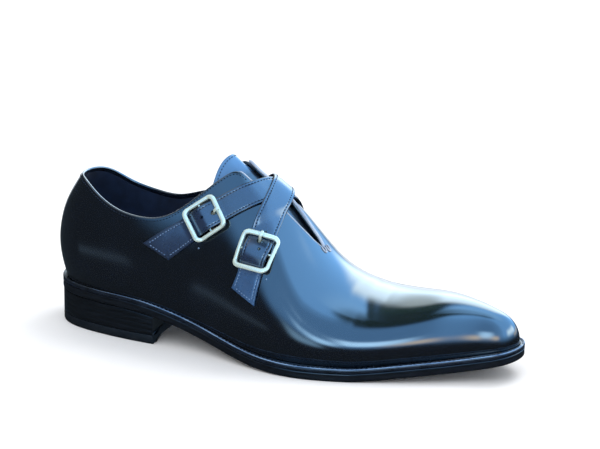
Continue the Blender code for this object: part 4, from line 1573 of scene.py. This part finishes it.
def addWorld():
    # even white for the backdrop and for shading; reflections see soft panels, each a smooth
    # step down over its softness on all four sides
    world = bpy.data.worlds.new("whiteRoom")
    world.use_nodes = True
    world.cycles.sampling_method = "NONE"
    tree = world.node_tree
    white = tree.nodes["Background"]
    white.inputs["Strength"].default_value = studio["white"]
    white.inputs["Color"].default_value = (1, 1, 1, 1)

    def sums(operation, *values):
        # one sum of plain values or outputs
        return addNode(tree, "Math", {"operation": operation}, dict(enumerate(values))).outputs[0]

    def step(distance, reach, soft):
        # 1 within the reach and 0 beyond it, smooth over soft on both sides
        return addNode(tree, "MapRange", {"interpolation_type": "SMOOTHSTEP"}, {
            "Value": distance, "From Min": reach - soft, "From Max": reach + soft,
            "To Min": 1.0, "To Max": 0.0}).outputs[0]
    coords = addNode(tree, "TexCoord").outputs["Generated"]
    way = addNode(tree, "SeparateXYZ", inputs={0: coords}).outputs
    turned = sums("DEGREES", sums("ARCTAN2", way[1], way[0]))
    climb = sums("DEGREES", sums("ARCSINE", way[2]))
    seen = addNode(tree, "RGB").outputs[0]
    seen.default_value = (*studio["room"], 1)
    for azimuth, elevation, width, height, soft, radiance in studio["panels"].values():
        aside = sums("ABSOLUTE", sums("WRAP", sums("SUBTRACT", turned, azimuth), 180.0, -180.0))
        away = sums("ABSOLUTE", sums("SUBTRACT", climb, elevation))
        share = sums("MULTIPLY", step(aside, width, soft), step(away, height, soft))
        seen = addNode(tree, "MixRGB", inputs={
            "Fac": share, "Color1": seen, "Color2": (*radiance, 1)}).outputs[0]
    panels = addNode(tree, "Background", inputs={"Color": seen})
    glossy = addNode(tree, "LightPath").outputs["Is Glossy Ray"]
    both = addNode(tree, "MixShader", inputs={
        0: glossy, 1: white.outputs[0], 2: panels.outputs[0]})
    tree.links.new(both.outputs[0], tree.nodes["World Output"].inputs["Surface"])
    bpy.context.scene.world = world


def addFloor():
    # one flat square at height 0
    corners = np.array([(-1, -1, 0), (1, -1, 0), (1, 1, 0), (-1, 1, 0)]) * studio["floor"] * mm
    data = bpy.data.meshes.new("floor")
    data.from_pydata(corners.tolist(), [], [(0, 1, 2, 3)])
    # Seamless studio paper: matt and even, just off white.
    look, tree, shader, coords = newMaterial("mattStudioPaper", {"Roughness": 0.9})
    fibre = addNode(tree, "TexNoise", inputs={"Vector": coords, "Scale": 1 / 0.02}).outputs["Fac"]
    wire(tree, shader, {"Base Color": ramp(tree, fibre, 0.0, 1.0, ["#f7f7f8", "#fafafb"])})
    data.materials.append(look)
    floor = addObject("floor", data)
    floor.visible_glossy = False


view = {
    "azimuth": -69.25,
    "elevation": 16.1,
    "distance": 977.0,
    "look": (162.3, 0.0, 78.5),
    "roll": 1.35,
    "lens": 95.1,
    "sensor": 36.0,
    "clip": (0.01, 50.0),
}


def addCamera():
    # at a distance from the point it looks at, in a direction, then rolled about it
    back, roll = direction(view["azimuth"], view["elevation"]), math.radians(view["roll"])
    right = (-back).cross(Vector((0, 0, 1))).normalized()
    up = right.cross(-back)
    x = right * math.cos(roll) + up * math.sin(roll)
    y = up * math.cos(roll) - right * math.sin(roll)
    data = bpy.data.cameras.new("camera")
    data.lens, data.sensor_width = view["lens"], view["sensor"]
    data.clip_start, data.clip_end = view["clip"]
    camera = addObject("camera", data)
    place = Vector(toRow(view["look"])) + back * view["distance"] * mm
    camera.matrix_world = Matrix.Translation(place) @ Matrix((x, y, back)).transposed().to_4x4()
    bpy.context.scene.camera = camera


addLamps()
addWorld()
addFloor()
addCamera()
bpy.context.scene.view_settings.view_transform = "Standard"
print("studio ready")

bpy.context.view_layer.update()
